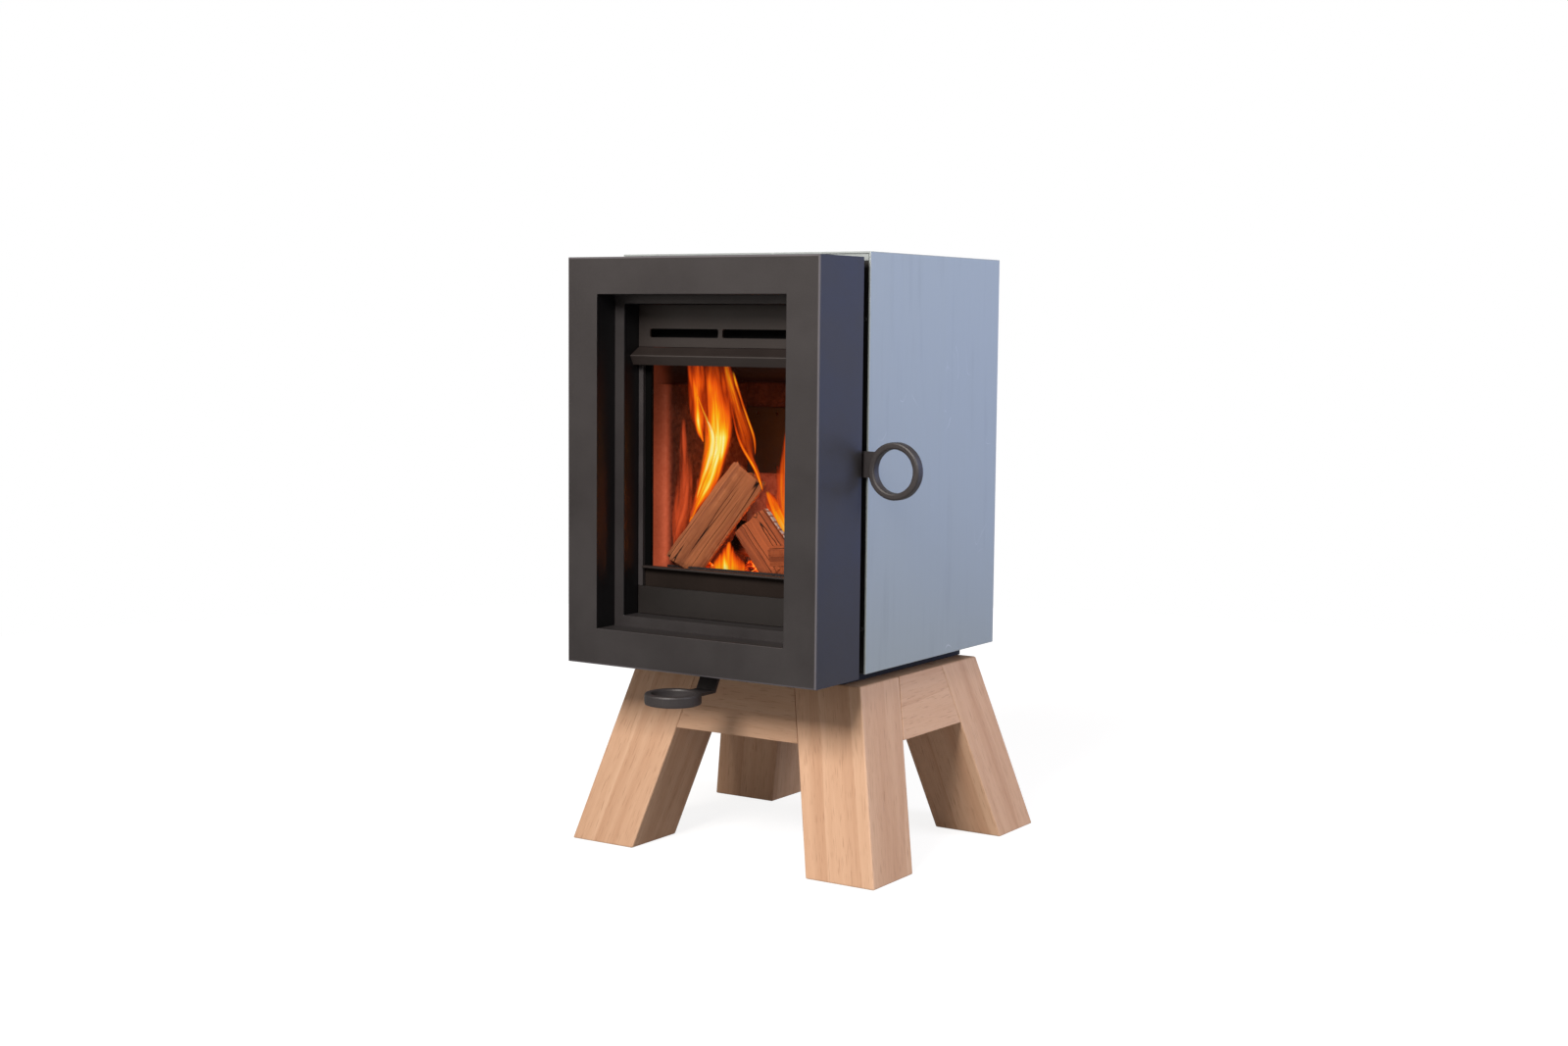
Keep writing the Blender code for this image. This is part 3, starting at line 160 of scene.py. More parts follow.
# Heat-proof stove paint sprayed on folded sheet steel: dark warm grey, dry satin, a fine orange-peel grain
def stovePaint(name, colours, roughness, grain, grainDepth, streak=0.08, gloss=0.5, edgeNode=None, paintedShadeAbove=None,
               darkReveals=None):
    finish, tree, shader = newFinish(name, {"Metallic": 0.0, "IOR": 1.5, "Specular IOR Level": gloss})
    coords = addNode(tree, "ShaderNodeTexCoord").outputs["Object"]
    cloud = addNode(tree, "ShaderNodeTexNoise", {"Scale": 9.0, "Detail": 4.0, "Roughness": 0.6}, {"Vector": coords})
    streakCoords = addNode(tree, "ShaderNodeMapping", {"Scale": (150, 150, 4)}, {"Vector": coords}).outputs[0]
    streaks = addNode(tree, "ShaderNodeTexNoise", {"Scale": 1.0, "Detail": 2.0}, {"Vector": streakCoords})
    speckle = addNode(tree, "ShaderNodeTexNoise", {"Scale": 1000 / grain, "Detail": 2.0, "Roughness": 0.7},
                      {"Vector": coords})
    tone = addNode(tree, "ShaderNodeMath", {"operation": "MULTIPLY_ADD", 1: streak},
                   {0: streaks.outputs[0], 2: cloud.outputs[0]})
    tone = addNode(tree, "ShaderNodeMath", {"operation": "MULTIPLY_ADD", 1: 0.35},
                   {0: speckle.outputs[0], 2: tone.outputs[0]})
    colour = addNode(tree, "ShaderNodeValToRGB", {"stops": [(0.48, colours[0]), (0.90, colours[1])]},
                     {0: tone.outputs[0]})
    finished = colour.outputs[0]
    place = addNode(tree, "ShaderNodeSeparateXYZ", {}, {0: coords}).outputs
    if paintedShadeAbove:
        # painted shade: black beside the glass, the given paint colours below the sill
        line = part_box(paintedShadeAbove)[0].z
        sootAndPaintedShade = addNode(tree, "ShaderNodeMapRange", {1: line - 0.002, 2: line, 3: 0.0, 4: 1.0}, {0: place[2]})
        finished = addNode(tree, "ShaderNodeMix", {"data_type": "RGBA", 7: toLinear(paintLook["burntAndPaintedShade"])},
                           {0: sootAndPaintedShade.outputs[0], 6: finished}).outputs[2]
    if darkReveals:
        # painted shade: the upright and hanging faces inside the door's opening are drawn dark, where the shade falls
        low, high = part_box(darkReveals)
        normal = addNode(tree, "ShaderNodeTexCoord").outputs["Normal"]
        facing = addNode(tree, "ShaderNodeSeparateXYZ", {}, {0: normal}).outputs
        sideways = addNode(tree, "ShaderNodeMath", {"operation": "ABSOLUTE"}, {0: facing[0]})
        sideways = addNode(tree, "ShaderNodeMath", {"operation": "GREATER_THAN", 1: 0.5}, {0: sideways.outputs[0]})
        hanging = addNode(tree, "ShaderNodeMath", {"operation": "LESS_THAN", 1: -0.5}, {0: facing[2]})
        dark = addNode(tree, "ShaderNodeMath", {"operation": "MAXIMUM"},
                       {0: sideways.outputs[0], 1: hanging.outputs[0]})
        for axis in (0, 2):
            opening = (high[axis] - low[axis]) / 2 - paintLook["border"]
            within = addNode(tree, "ShaderNodeMath", {"operation": "LESS_THAN", 1: opening},
                             {0: fromMiddle(tree, place[axis], low[axis], high[axis])})
            dark = addNode(tree, "ShaderNodeMath", {"operation": "MULTIPLY"},
                           {0: dark.outputs[0], 1: within.outputs[0]})
        finished = addNode(tree, "ShaderNodeMix", {"data_type": "RGBA", 7: toLinear(paintLook["sootHazeAndPaintedShade"])},
                           {0: dark.outputs[0], 6: finished}).outputs[2]
    if edgeNode:
        # painted highlight: the sharp front edges are drawn in a lighter grey, as if they catch the light
        low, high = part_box(edgeNode)
        width = paintLook["edgeWidth"]
        near = addNode(tree, "ShaderNodeMapRange", {1: low.y, 2: low.y + width, 3: 1.0, 4: 0.0},
                       {0: place[1]}).outputs[0]
        sides = []
        for axis in (0, 2):
            half = (high[axis] - low[axis]) / 2
            sides.append(addNode(tree, "ShaderNodeMapRange", {1: half - width, 2: half, 3: 0.0, 4: 1.0},
                                 {0: fromMiddle(tree, place[axis], low[axis], high[axis])}).outputs[0])
        side = addNode(tree, "ShaderNodeMath", {"operation": "MAXIMUM"}, {0: sides[0], 1: sides[1]})
        edge = addNode(tree, "ShaderNodeMath", {"operation": "MULTIPLY"}, {0: side.outputs[0], 1: near})
        finished = addNode(tree, "ShaderNodeMix", {"data_type": "RGBA", 7: toLinear(paintLook["paintedEdgeHighlight"])},
                           {0: edge.outputs[0], 6: finished}).outputs[2]
    tree.links.new(finished, shader.inputs["Base Color"])
    rough = addNode(tree, "ShaderNodeMapRange", {1: 0.3, 2: 0.7, 3: roughness - 0.06, 4: roughness + 0.06},
                    {0: cloud.outputs[0]})
    tree.links.new(rough.outputs[0], shader.inputs["Roughness"])
    bump = addNode(tree, "ShaderNodeBump", {"Strength": 0.35, "Distance": grainDepth}, {"Height": speckle.outputs[0]})
    tree.links.new(bump.outputs[0], shader.inputs["Normal"])
    return finish


# the blue cast of these greys is a painted reflection of cool light
casingLook = {
    "light": "#A9B2B3", "dark": "#A1A9AB", "scratch": "#D6DADF",
    "brushWidth": 0.9, "brushLength": 120.0,  # mm
}


# Zinc-coated sheet steel, brushed up and down: pale grey with soft vertical lines and a few hairline scratches; its
# blue cast is a painted reflection of cool light
def brushedSheet(name):
    finish, tree, shader = newFinish(name, {"Metallic": 0.45, "Anisotropic": 0.3})
    coords = addNode(tree, "ShaderNodeTexCoord").outputs["Object"]
    across = 1000 / casingLook["brushWidth"]
    lineCoords = addNode(tree, "ShaderNodeMapping", {"Scale": (across, across, 1000 / casingLook["brushLength"])},
                         {"Vector": coords}).outputs[0]
    lines = addNode(tree, "ShaderNodeTexNoise", {"Scale": 1.0, "Detail": 4.0, "Roughness": 0.65},
                    {"Vector": lineCoords})
    broadCoords = addNode(tree, "ShaderNodeMapping", {"Scale": (48, 48, 4.5)}, {"Vector": coords}).outputs[0]
    broad = addNode(tree, "ShaderNodeTexNoise", {"Scale": 1.0, "Detail": 3.0}, {"Vector": broadCoords})
    cloud = addNode(tree, "ShaderNodeTexNoise", {"Scale": 4.5, "Detail": 3.0}, {"Vector": coords})
    tone = addNode(tree, "ShaderNodeMath", {"operation": "MULTIPLY_ADD", 1: 0.55},
                   {0: lines.outputs[0], 2: broad.outputs[0]})
    tone = addNode(tree, "ShaderNodeMath", {"operation": "MULTIPLY_ADD", 1: 0.5},
                   {0: cloud.outputs[0], 2: tone.outputs[0]})
    colour = addNode(tree, "ShaderNodeValToRGB",
                     {"stops": [(0.70, casingLook["dark"]), (1.12 / 1.2, casingLook["light"])]}, {0: tone.outputs[0]})
    # hairline scratches: thin contour lines of a slow noise, kept only in small patches
    scratchNoise = addNode(tree, "ShaderNodeTexNoise", {"Scale": 21.0, "Detail": 0.0, "Distortion": 0.6},
                           {"Vector": coords})
    fromLine = addNode(tree, "ShaderNodeMath", {"operation": "SUBTRACT", 1: 0.5}, {0: scratchNoise.outputs[0]})
    fromLine = addNode(tree, "ShaderNodeMath", {"operation": "ABSOLUTE"}, {0: fromLine.outputs[0]})
    thin = addNode(tree, "ShaderNodeMapRange", {1: 0.0, 2: 0.006, 3: 1.0, 4: 0.0}, {0: fromLine.outputs[0]})
    patches = addNode(tree, "ShaderNodeTexNoise", {"Scale": 16.0, "Detail": 1.0}, {"Vector": addNode(
        tree, "ShaderNodeMapping", {"Location": (3.1, 0.7, 5.2)}, {"Vector": coords}).outputs[0]})
    patch = addNode(tree, "ShaderNodeMapRange", {1: 0.64, 2: 0.70, 3: 0.0, 4: 0.6}, {0: patches.outputs[0]})
    scratch = addNode(tree, "ShaderNodeMath", {"operation": "MULTIPLY"}, {0: thin.outputs[0], 1: patch.outputs[0]})
    marked = addNode(tree, "ShaderNodeMix", {"data_type": "RGBA", 7: toLinear(casingLook["scratch"])},
                     {0: scratch.outputs[0], 6: colour.outputs[0]})
    tree.links.new(marked.outputs[2], shader.inputs["Base Color"])
    rough = addNode(tree, "ShaderNodeMapRange", {1: 0.3, 2: 0.7, 3: 0.40, 4: 0.52}, {0: lines.outputs[0]})
    tree.links.new(rough.outputs[0], shader.inputs["Roughness"])
    bump = addNode(tree, "ShaderNodeBump", {"Strength": 0.12, "Distance": 0.0003}, {"Height": lines.outputs[0]})
    tree.links.new(bump.outputs[0], shader.inputs["Normal"])
    return finish


zincLook = {"dark": "#8E9296", "light": "#B4B8BA", "flower": 6.25}  # flower in mm


# Zinc-plated steel strip: cool grey with the faint crystal flowers of the plating
def zincPlate(name):
    finish, tree, shader = newFinish(name, {"Metallic": 0.9})
    coords = addNode(tree, "ShaderNodeTexCoord").outputs["Object"]
    flowers = addNode(tree, "ShaderNodeTexVoronoi", {"Scale": 1000 / zincLook["flower"]}, {"Vector": coords})
    grey = addNode(tree, "ShaderNodeSeparateColor", {}, {0: flowers.outputs["Color"]})
    colour = addNode(tree, "ShaderNodeValToRGB", {"stops": [(0.0, zincLook["dark"]), (1.0, zincLook["light"])]},
                     {0: grey.outputs[0]})
    rough = addNode(tree, "ShaderNodeMapRange", {3: 0.32, 4: 0.48}, {0: grey.outputs[1]})
    tree.links.new(colour.outputs[0], shader.inputs["Base Color"])
    tree.links.new(rough.outputs[0], shader.inputs["Roughness"])
    return finish


# the glow colours and strengths are painted firelight
brickLook = {
    "pale": "#94604A", "dark": "#542F26", "sootAndPaintedShade": "#1C100E", "glow": "#7A3020", "brightPaintedFirelight": "#AC4C30",
    "flake": 5.0,  # mm
    "fireLift": 11.0,  # added to the glow beside the fire
    "lowEnd": 1.12, "highEnd": 0.24,  # glow low down and high up
}


# Pressed vermiculite board, warm brown with gold flakes, sooted towards the top, with painted firelight from the embers
# low down
def sootyBrickWithPaintedFirelight(name, paintedFirelightStrength):
    finish, tree, shader = newFinish(name, {"Roughness": 0.92, "Specular IOR Level": 0.2})
    low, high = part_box("brick_back")
    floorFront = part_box("brick_floor")[0].y
    coords = addNode(tree, "ShaderNodeTexCoord").outputs["Object"]
    flakes = addNode(tree, "ShaderNodeTexVoronoi", {"Scale": 1000 / brickLook["flake"], "Randomness": 1.0},
                     {"Vector": coords})
    grain = addNode(tree, "ShaderNodeTexNoise", {"Scale": 130.0, "Detail": 5.0, "Roughness": 0.7}, {"Vector": coords})
    blotch = addNode(tree, "ShaderNodeTexNoise", {"Scale": 14.0, "Detail": 3.0, "Distortion": 0.4},
                     {"Vector": coords})
    spot = addNode(tree, "ShaderNodeSeparateColor", {}, {0: flakes.outputs["Color"]})
    tone = addNode(tree, "ShaderNodeMath", {"operation": "MULTIPLY_ADD", 1: 0.35},
                   {0: spot.outputs[0], 2: grain.outputs[0]})
    colour = addNode(tree, "ShaderNodeValToRGB", {"stops": [(0.35, brickLook["dark"]), (0.95, brickLook["pale"])]},
                     {0: tone.outputs[0]})
    height = addNode(tree, "ShaderNodeSeparateXYZ", {}, {0: coords})
    rise = addNode(tree, "ShaderNodeMapRange", {1: low.z, 2: high.z, 3: 0.0, 4: 1.0}, {0: height.outputs[2]})
    sooty = addNode(tree, "ShaderNodeMath", {"operation": "MULTIPLY_ADD", 1: 0.7, 2: -0.25}, {0: rise.outputs[0]})
    sooty = addNode(tree, "ShaderNodeMath", {"operation": "ADD", "use_clamp": True},
                    {0: sooty.outputs[0], 1: blotch.outputs[0]})
    sooty = addNode(tree, "ShaderNodeMapRange", {1: 0.35, 2: 0.95, 3: 0.15, 4: 0.85}, {0: sooty.outputs[0]})
    stained = addNode(tree, "ShaderNodeMix", {"data_type": "RGBA", 7: toLinear(brickLook["sootAndPaintedShade"])},
                      {0: sooty.outputs[0], 6: colour.outputs[0]})
    tree.links.new(stained.outputs[2], shader.inputs["Base Color"])
    # painted firelight: a warm emission, strongest low down
    paintedFirelightAmount = addNode(tree, "ShaderNodeMapRange", {1: 0.0, 2: 1.0, 3: paintedFirelightStrength, 4: paintedFirelightStrength * 0.25},
                     {0: rise.outputs[0]})
    paintedFirelightAmount = addNode(tree, "ShaderNodeMath", {"operation": "MULTIPLY"}, {0: paintedFirelightAmount.outputs[0], 1: grain.outputs[0]})
    # painted firelight: the lower half of the back brick is lit where the flames burn against it, away from its left
    # end
    byFire = addNode(tree, "ShaderNodeMapRange", {
        1: low.x + 0.026, 2: low.x + 0.056, 3: 0.0, 4: brickLook["fireLift"], "interpolation_type": "SMOOTHSTEP",
    }, {0: height.outputs[0]})
    lowHalf = addNode(tree, "ShaderNodeMapRange",
                      {1: 0.48, 2: 0.60, 3: 1.0, 4: 0.05, "interpolation_type": "SMOOTHSTEP"}, {0: rise.outputs[0]})
    byFire = addNode(tree, "ShaderNodeMath", {"operation": "MULTIPLY"}, {0: byFire.outputs[0], 1: lowHalf.outputs[0]})
    byFire = addNode(tree, "ShaderNodeMath", {"operation": "ADD", 1: 1.0}, {0: byFire.outputs[0]})
    atBack = addNode(tree, "ShaderNodeMath", {"operation": "GREATER_THAN", 1: low.y - 0.001}, {0: height.outputs[1]})
    litBack = addNode(tree, "ShaderNodeMix", {"data_type": "FLOAT", 2: 1.0},
                      {0: atBack.outputs[0], 3: byFire.outputs[0]})
    paintedFirelightAmount = addNode(tree, "ShaderNodeMath", {"operation": "MULTIPLY"}, {0: paintedFirelightAmount.outputs[0], 1: litBack.outputs[0]})
    # painted firelight: the bricks' front ends stand in the fire's light, brightest low down
    front = floorFront + 0.0005
    ends = addNode(tree, "ShaderNodeMapRange",
                   {1: front, 2: front + 0.020, 3: 1.0, 4: 0.0, "interpolation_type": "SMOOTHSTEP"},
                   {0: height.outputs[1]})
    lit = addNode(tree, "ShaderNodeMapRange", {
        1: 0.35, 2: 1.05, 3: brickLook["lowEnd"], 4: brickLook["highEnd"], "interpolation_type": "SMOOTHSTEP",
    }, {0: rise.outputs[0]})
    paintedEndFirelight = addNode(tree, "ShaderNodeMath", {"operation": "MULTIPLY"}, {0: ends.outputs[0], 1: lit.outputs[0]})
    aboveHearth = addNode(tree, "ShaderNodeMapRange",
                          {1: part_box("brick_floor")[1].z - 0.004, 2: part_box("brick_floor")[1].z, 3: 0.12, 4: 1.0},
                          {0: height.outputs[2]})
    paintedEndFirelight = addNode(tree, "ShaderNodeMath", {"operation": "MULTIPLY"},
                      {0: paintedEndFirelight.outputs[0], 1: aboveHearth.outputs[0]})
    strength = addNode(tree, "ShaderNodeMath", {"operation": "ADD"}, {0: paintedFirelightAmount.outputs[0], 1: paintedEndFirelight.outputs[0]})
    paintedFirelightColour = addNode(tree, "ShaderNodeMix",
                         {"data_type": "RGBA", 6: toLinear(brickLook["glow"]), 7: toLinear(brickLook["brightPaintedFirelight"])},
                         {0: ends.outputs[0]})
    tree.links.new(paintedFirelightColour.outputs[2], shader.inputs["Emission Color"])
    tree.links.new(strength.outputs[0], shader.inputs["Emission Strength"])
    bump = addNode(tree, "ShaderNodeBump", {"Strength": 0.6, "Distance": 0.001}, {"Height": tone.outputs[0]})
    tree.links.new(bump.outputs[0], shader.inputs["Normal"])
    return finish


# glow is the strength of the painted firelight on the walls
wallLook = {"dark": "#120C0A", "worn": "#271A16", "glow": 0.32, "paintedFirelightDepth": 0.060}  # depth in metres


# Sheet steel of the firebox, dull with soot, with painted firelight just behind the glass
def sootedSteelWithPaintedFirelight(name):
    finish, tree, shader = newFinish(name, {"Roughness": 0.8, "Specular IOR Level": 0.25})
    low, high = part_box("firebox")
    coords = addNode(tree, "ShaderNodeTexCoord").outputs["Object"]
    sootAndPaintedShade = addNode(tree, "ShaderNodeTexNoise", {"Scale": 30.0, "Detail": 5.0, "Roughness": 0.65}, {"Vector": coords})
    colour = addNode(tree, "ShaderNodeValToRGB", {"stops": [(0.35, wallLook["dark"]), (0.70, wallLook["worn"])]},
                     {0: sootAndPaintedShade.outputs[0]})
    tree.links.new(colour.outputs[0], shader.inputs["Base Color"])
    place = addNode(tree, "ShaderNodeSeparateXYZ", {}, {0: coords}).outputs
    back = place[1]
    inside = addNode(tree, "ShaderNodeMapRange", {1: low.y + 0.0005, 2: low.y + 0.0015, 3: 0.0, 4: wallLook["glow"]},
                     {0: back})
    fade = addNode(tree, "ShaderNodeMapRange",
                   {1: low.y + 0.004, 2: low.y + wallLook["paintedFirelightDepth"], 3: 1.0, 4: 0.05,
                    "interpolation_type": "SMOOTHSTEP"}, {0: back})
    glow = addNode(tree, "ShaderNodeMath", {"operation": "MULTIPLY"}, {0: inside.outputs[0], 1: fade.outputs[0]})
    # the painted firelight goes only on the walls' inner faces
    for axis in (0, 2):
        within = addNode(tree, "ShaderNodeMath", {"operation": "LESS_THAN", 1: (high[axis] - low[axis]) / 2 - 0.001},
                         {0: fromMiddle(tree, place[axis], low[axis], high[axis])})
        glow = addNode(tree, "ShaderNodeMath", {"operation": "MULTIPLY"}, {0: glow.outputs[0], 1: within.outputs[0]})
    shader.inputs["Emission Color"].default_value = toLinear(brickLook["brightPaintedFirelight"])
    tree.links.new(glow.outputs[0], shader.inputs["Emission Strength"])
    bump = addNode(tree, "ShaderNodeBump", {"Strength": 0.4, "Distance": 0.0008}, {"Height": sootAndPaintedShade.outputs[0]})
    tree.links.new(bump.outputs[0], shader.inputs["Normal"])
    return finish


glassLook = {"tint": "#140A07", "clear": 0.05, "haze": 0.40}


# Glass-ceramic pane, rolled and polished: clear with a faint amber cast, hazed with soot along its edges
def fireGlass(name):
    finish, tree, shader = newFinish(name, {
        "Base Color": toLinear(glassLook["tint"]), "Roughness": 0.04, "IOR": 1.52, "Specular IOR Level": 0.3})
    low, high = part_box("glass")
    coords = addNode(tree, "ShaderNodeTexCoord").outputs["Object"]
    place = addNode(tree, "ShaderNodeSeparateXYZ", {}, {0: coords})
    sootHazeAndPaintedShade = addNode(tree, "ShaderNodeTexNoise", {"Scale": 12.0, "Detail": 4.0, "Distortion": 0.8}, {"Vector": coords})
    fade = []
    for axis, edge, inner in ((0, low.x + 0.009, low.x + 0.030), (0, high.x - 0.009, high.x - 0.030),
                              (2, high.z - 0.012, high.z - 0.036), (2, low.z + 0.008, low.z + 0.022)):
        fade.append(addNode(tree, "ShaderNodeMapRange",
                            {1: edge, 2: inner, 3: 1.0, 4: 0.0, "interpolation_type": "SMOOTHSTEP"},
                            {0: place.outputs[axis]}).outputs[0])
    worst = fade[0]
    for other in fade[1:]:
        worst = addNode(tree, "ShaderNodeMath", {"operation": "MAXIMUM"}, {0: worst, 1: other}).outputs[0]
    haze = addNode(tree, "ShaderNodeMath", {"operation": "MULTIPLY"}, {0: worst, 1: sootHazeAndPaintedShade.outputs[0]})
    clear = addNode(tree, "ShaderNodeMath",
                    {"operation": "MULTIPLY_ADD", 1: glassLook["haze"], 2: glassLook["clear"], "use_clamp": True},
                    {0: haze.outputs[0]})
    tree.links.new(clear.outputs[0], shader.inputs["Alpha"])
    return finish


ropeLook = {"gap": "#1B1A1A", "yarn": "#4B4846", "plait": 2.5}  # plait in mm


# Braided glass-fibre rope, graphite coated: dark grey with a fine plait
def sealRope(name):
    finish, tree, shader = newFinish(name, {"Roughness": 0.95, "Sheen Weight": 0.3})
    coords = addNode(tree, "ShaderNodeTexCoord").outputs["Object"]
    plaits = []
    for lean in (0.8, -0.8):
        turned = addNode(tree, "ShaderNodeMapping", {"Rotation": (lean, lean, 0.0)}, {"Vector": coords}).outputs[0]
        plaits.append(addNode(tree, "ShaderNodeTexWave",
                              {"Scale": 1000 / ropeLook["plait"] / 20, "bands_direction": "DIAGONAL"},
                              {"Vector": turned}).outputs["Fac"])
    plait = addNode(tree, "ShaderNodeMath", {"operation": "MULTIPLY"}, {0: plaits[0], 1: plaits[1]})
    colour = addNode(tree, "ShaderNodeValToRGB", {"stops": [(0.0, ropeLook["gap"]), (0.6, ropeLook["yarn"])]},
                     {0: plait.outputs[0]})
    tree.links.new(colour.outputs[0], shader.inputs["Base Color"])
    bump = addNode(tree, "ShaderNodeBump", {"Strength": 0.8, "Distance": 0.0008}, {"Height": plait.outputs[0]})
    tree.links.new(bump.outputs[0], shader.inputs["Normal"])
    return finish


framePaint = stovePaint("stove_paint_dark_grey", ("#262324", "#2F2C2D"), 0.46, 1.1, 0.0004, edgeNode="door_frame",
                        darkReveals="door_frame")
# painted shade: darker copies of the frame paint for the recessed door panels, darkest on the lower panel
recessPaint = stovePaint("stove_paint_with_painted_recess_shade", ("#1E1816", "#28201D"), 0.52, 1.1, 0.0004)
lowPanelPaint = stovePaint("stove_paint_with_deeper_painted_shade_low_in_the_recess", ("#100C0A", "#181210"), 0.54, 1.1, 0.0004)
ringPaint = stovePaint("stove_paint_on_castings", ("#2B2829", "#393536"), 0.50, 1.4, 0.0007)
blackPaint = stovePaint("matt_black_stove_paint", ("#0B0B0C", "#141415"), 0.62, 1.3, 0.0004)
# painted shade: the glass frame is in the darker recess tone, and black above the sill
glassFramePaint = stovePaint("stove_paint_with_painted_shade_at_the_glass", ("#1E1916", "#28211E"), 0.72, 1.1, 0.0004, gloss=0.05,
                             paintedShadeAbove="sill_bar")
shadowPaint = stovePaint("matt_black_painted_shade_behind_the_slots", ("#040404", "#080808"), 0.80, 1.3, 0.0004, gloss=0.1)
collarPaint = stovePaint("stove_paint_dulled_by_flue_heat", ("#141314", "#1D1B1B"), 0.74, 1.4, 0.0006, gloss=0.15)
casingMetal = brushedSheet("brushed_zinc_coated_sheet")
zinc = zincPlate("zinc_plated_steel")
wallBrick = sootyBrickWithPaintedFirelight("vermiculite_board_with_painted_firelight", 0.20)
sootedWall = sootedSteelWithPaintedFirelight("sooted_sheet_steel_with_painted_firelight")
paneGlass = fireGlass("ceramic_fire_glass")
rope = sealRope("braided_glass_rope")

legLean = {"x": 0.253, "y": 0.264}  # outward run of a leg for each metre down
for index, name in enumerate(("leg_front_left", "leg_front_right", "leg_back_left", "leg_back_right")):
    sideX = -1 if "left" in name else 1
    sideY = -1 if "front" in name else 1
    grainLine = (-sideX * legLean["x"], -sideY * legLean["y"], 1.0)
    start = (0.13 + 0.31 * index, 0.09 + 0.17 * index, 0.4 * index)
    wear(name, oiledOak("oiled_oak_" + name, grainLine, start, 0.97 + 0.02 * (index % 2)))
railLines = (("rail_front", (1, 0, 0)), ("rail_back", (1, 0, 0)), ("rail_left", (0, 1, 0)), ("rail_right", (0, 1, 0)))
for index, (name, line) in enumerate(railLines):
    wear(name, oiledOak("oiled_oak_" + name, line, (0.05 + 0.23 * index, 0.21 * index, 0.7 + 0.3 * index), 0.95))
for name in ("door_frame", "door_inner_frame"):
    wear(name, framePaint)
for name in ("air_panel", "nose_bar", "sill_bar"):
    wear(name, recessPaint)
wear("lower_panel", lowPanelPaint)
for name in ("stile_left", "stile_right"):
    wear(name, ringPaint)
wear("glass_frame", glassFramePaint)
for name in ("casing", "top_lip"):
    wear(name, casingMetal)
for name in ("handle_ring", "handle_lever", "air_ring", "air_arm", "log_guard"):
    wear(name, ringPaint)
wear("flue_collar", collarPaint)
wear("rear_cover", ringPaint)
for name in ("firebox", "baffle_plate"):
    wear(name, sootedWall)
for name in ("plinth", "base_plate", "front_plate", "hearth_plate", "baffle_bar", "door_back_plate",
             "hinge_bracket_lower", "hinge_bracket_upper", "door_lug_lower", "door_lug_upper",
             "front_screw_1", "front_screw_2", "front_screw_3", "front_screw_4"):
    wear(name, blackPaint)
for name in ("brick_floor", "brick_back", "brick_left", "brick_right"):
    wear(name, wallBrick)
for name in ("air_box", "air_guide_left", "air_guide_right", "air_shutter", "hinge_pin_lower", "hinge_pin_upper",
             "latch_bolt", "latch_spacer", "latch_keeper", "glass_clip_lower", "glass_clip_upper"):
    wear(name, zinc)
for name in ("door_seal", "glass_gasket"):
    wear(name, rope)
wear("glass", paneGlass)
print("finishes on the stove's own parts: done")


# Helpers for modelling

def clearSelection():
    if bpy.context.mode != "OBJECT":
        bpy.ops.object.mode_set(mode="OBJECT")
    bpy.ops.object.select_all(action="DESELECT")


def applyAll(piece):
    for modifier in list(piece.modifiers):
        bpy.ops.object.modifier_apply(modifier=modifier.name)


def finishPiece(piece, name, finish, body):
    piece.name = name
    piece.data.name = name
    bpy.ops.object.transform_apply(location=True, rotation=True, scale=True)
    if finish:
        piece.data.materials.clear()
        piece.data.materials.append(finish)
    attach(piece, body)
    return piece


def copyPiece(piece, name, move, body):
    copy = piece.copy()
    copy.data = piece.data.copy()
    copy.name = name
    copy.data.name = name
    bpy.context.scene.collection.objects.link(copy)
    copy.data.transform(Matrix.Translation(move))
    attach(copy, body)
    return copy


# Small fixings

screwLook = {"radius": 0.0046, "height": 0.0026, "socket": 0.0021, "fromEdge": 0.011, "rows": 4}


# pan-head screws with a hexagon socket that hold the rear cover
def rearScrews():
    low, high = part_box("rear_cover")
    clearSelection()
    radius = screwLook["radius"]
    bpy.ops.mesh.primitive_cylinder_add(vertices=24, radius=radius, depth=screwLook["height"],
                                        location=(0, 0, screwLook["height"] / 2))
    screw = bpy.context.active_object
    bpy.ops.object.mode_set(mode="EDIT")
    bpy.ops.mesh.select_all(action="DESELECT")
    bm = bmesh.from_edit_mesh(screw.data)
    for face in bm.faces:
        face.select = face.normal.z > 0.9
    bmesh.update_edit_mesh(screw.data)
    bpy.ops.transform.resize(value=(0.82, 0.82, 1.0))
    bpy.ops.mesh.inset(thickness=radius * 0.82 - screwLook["socket"], depth=0.0002)
    bpy.ops.mesh.extrude_region_move(TRANSFORM_OT_translate={"value": (0, 0, -0.0014)})
    bpy.ops.object.mode_set(mode="OBJECT")
    bevel = screw.modifiers.new("edge", "BEVEL")
    bevel.width = 0.0003
    bevel.segments = 2
    applyAll(screw)
    bpy.ops.object.shade_smooth_by_angle(angle=math.radians(35))
    screw.rotation_euler = (math.radians(-90), 0, 0)
    inset = screwLook["fromEdge"]
    screw.location = (low.x + inset, high.y, low.z + inset)
    finishPiece(screw, "rear_screw_1", zinc, "stove_body")
    number = 1
    rows = screwLook["rows"]
    for side in (0, 1):
        for row in range(rows):
            if side == 0 and row == 0:
                continue
            number += 1
            move = (side * (high.x - low.x - 2 * inset), 0, row * (high.z - low.z - 2 * inset) / (rows - 1))
            copyPiece(screw, "rear_screw_" + str(number), Vector(move), "stove_body")


rearScrews()
print("rear screws: done")


channelLook = {"depth": 0.018, "fromEnd": 0.0014, "below": 0.0025, "above": 0.0045, "sheet": 0.001}


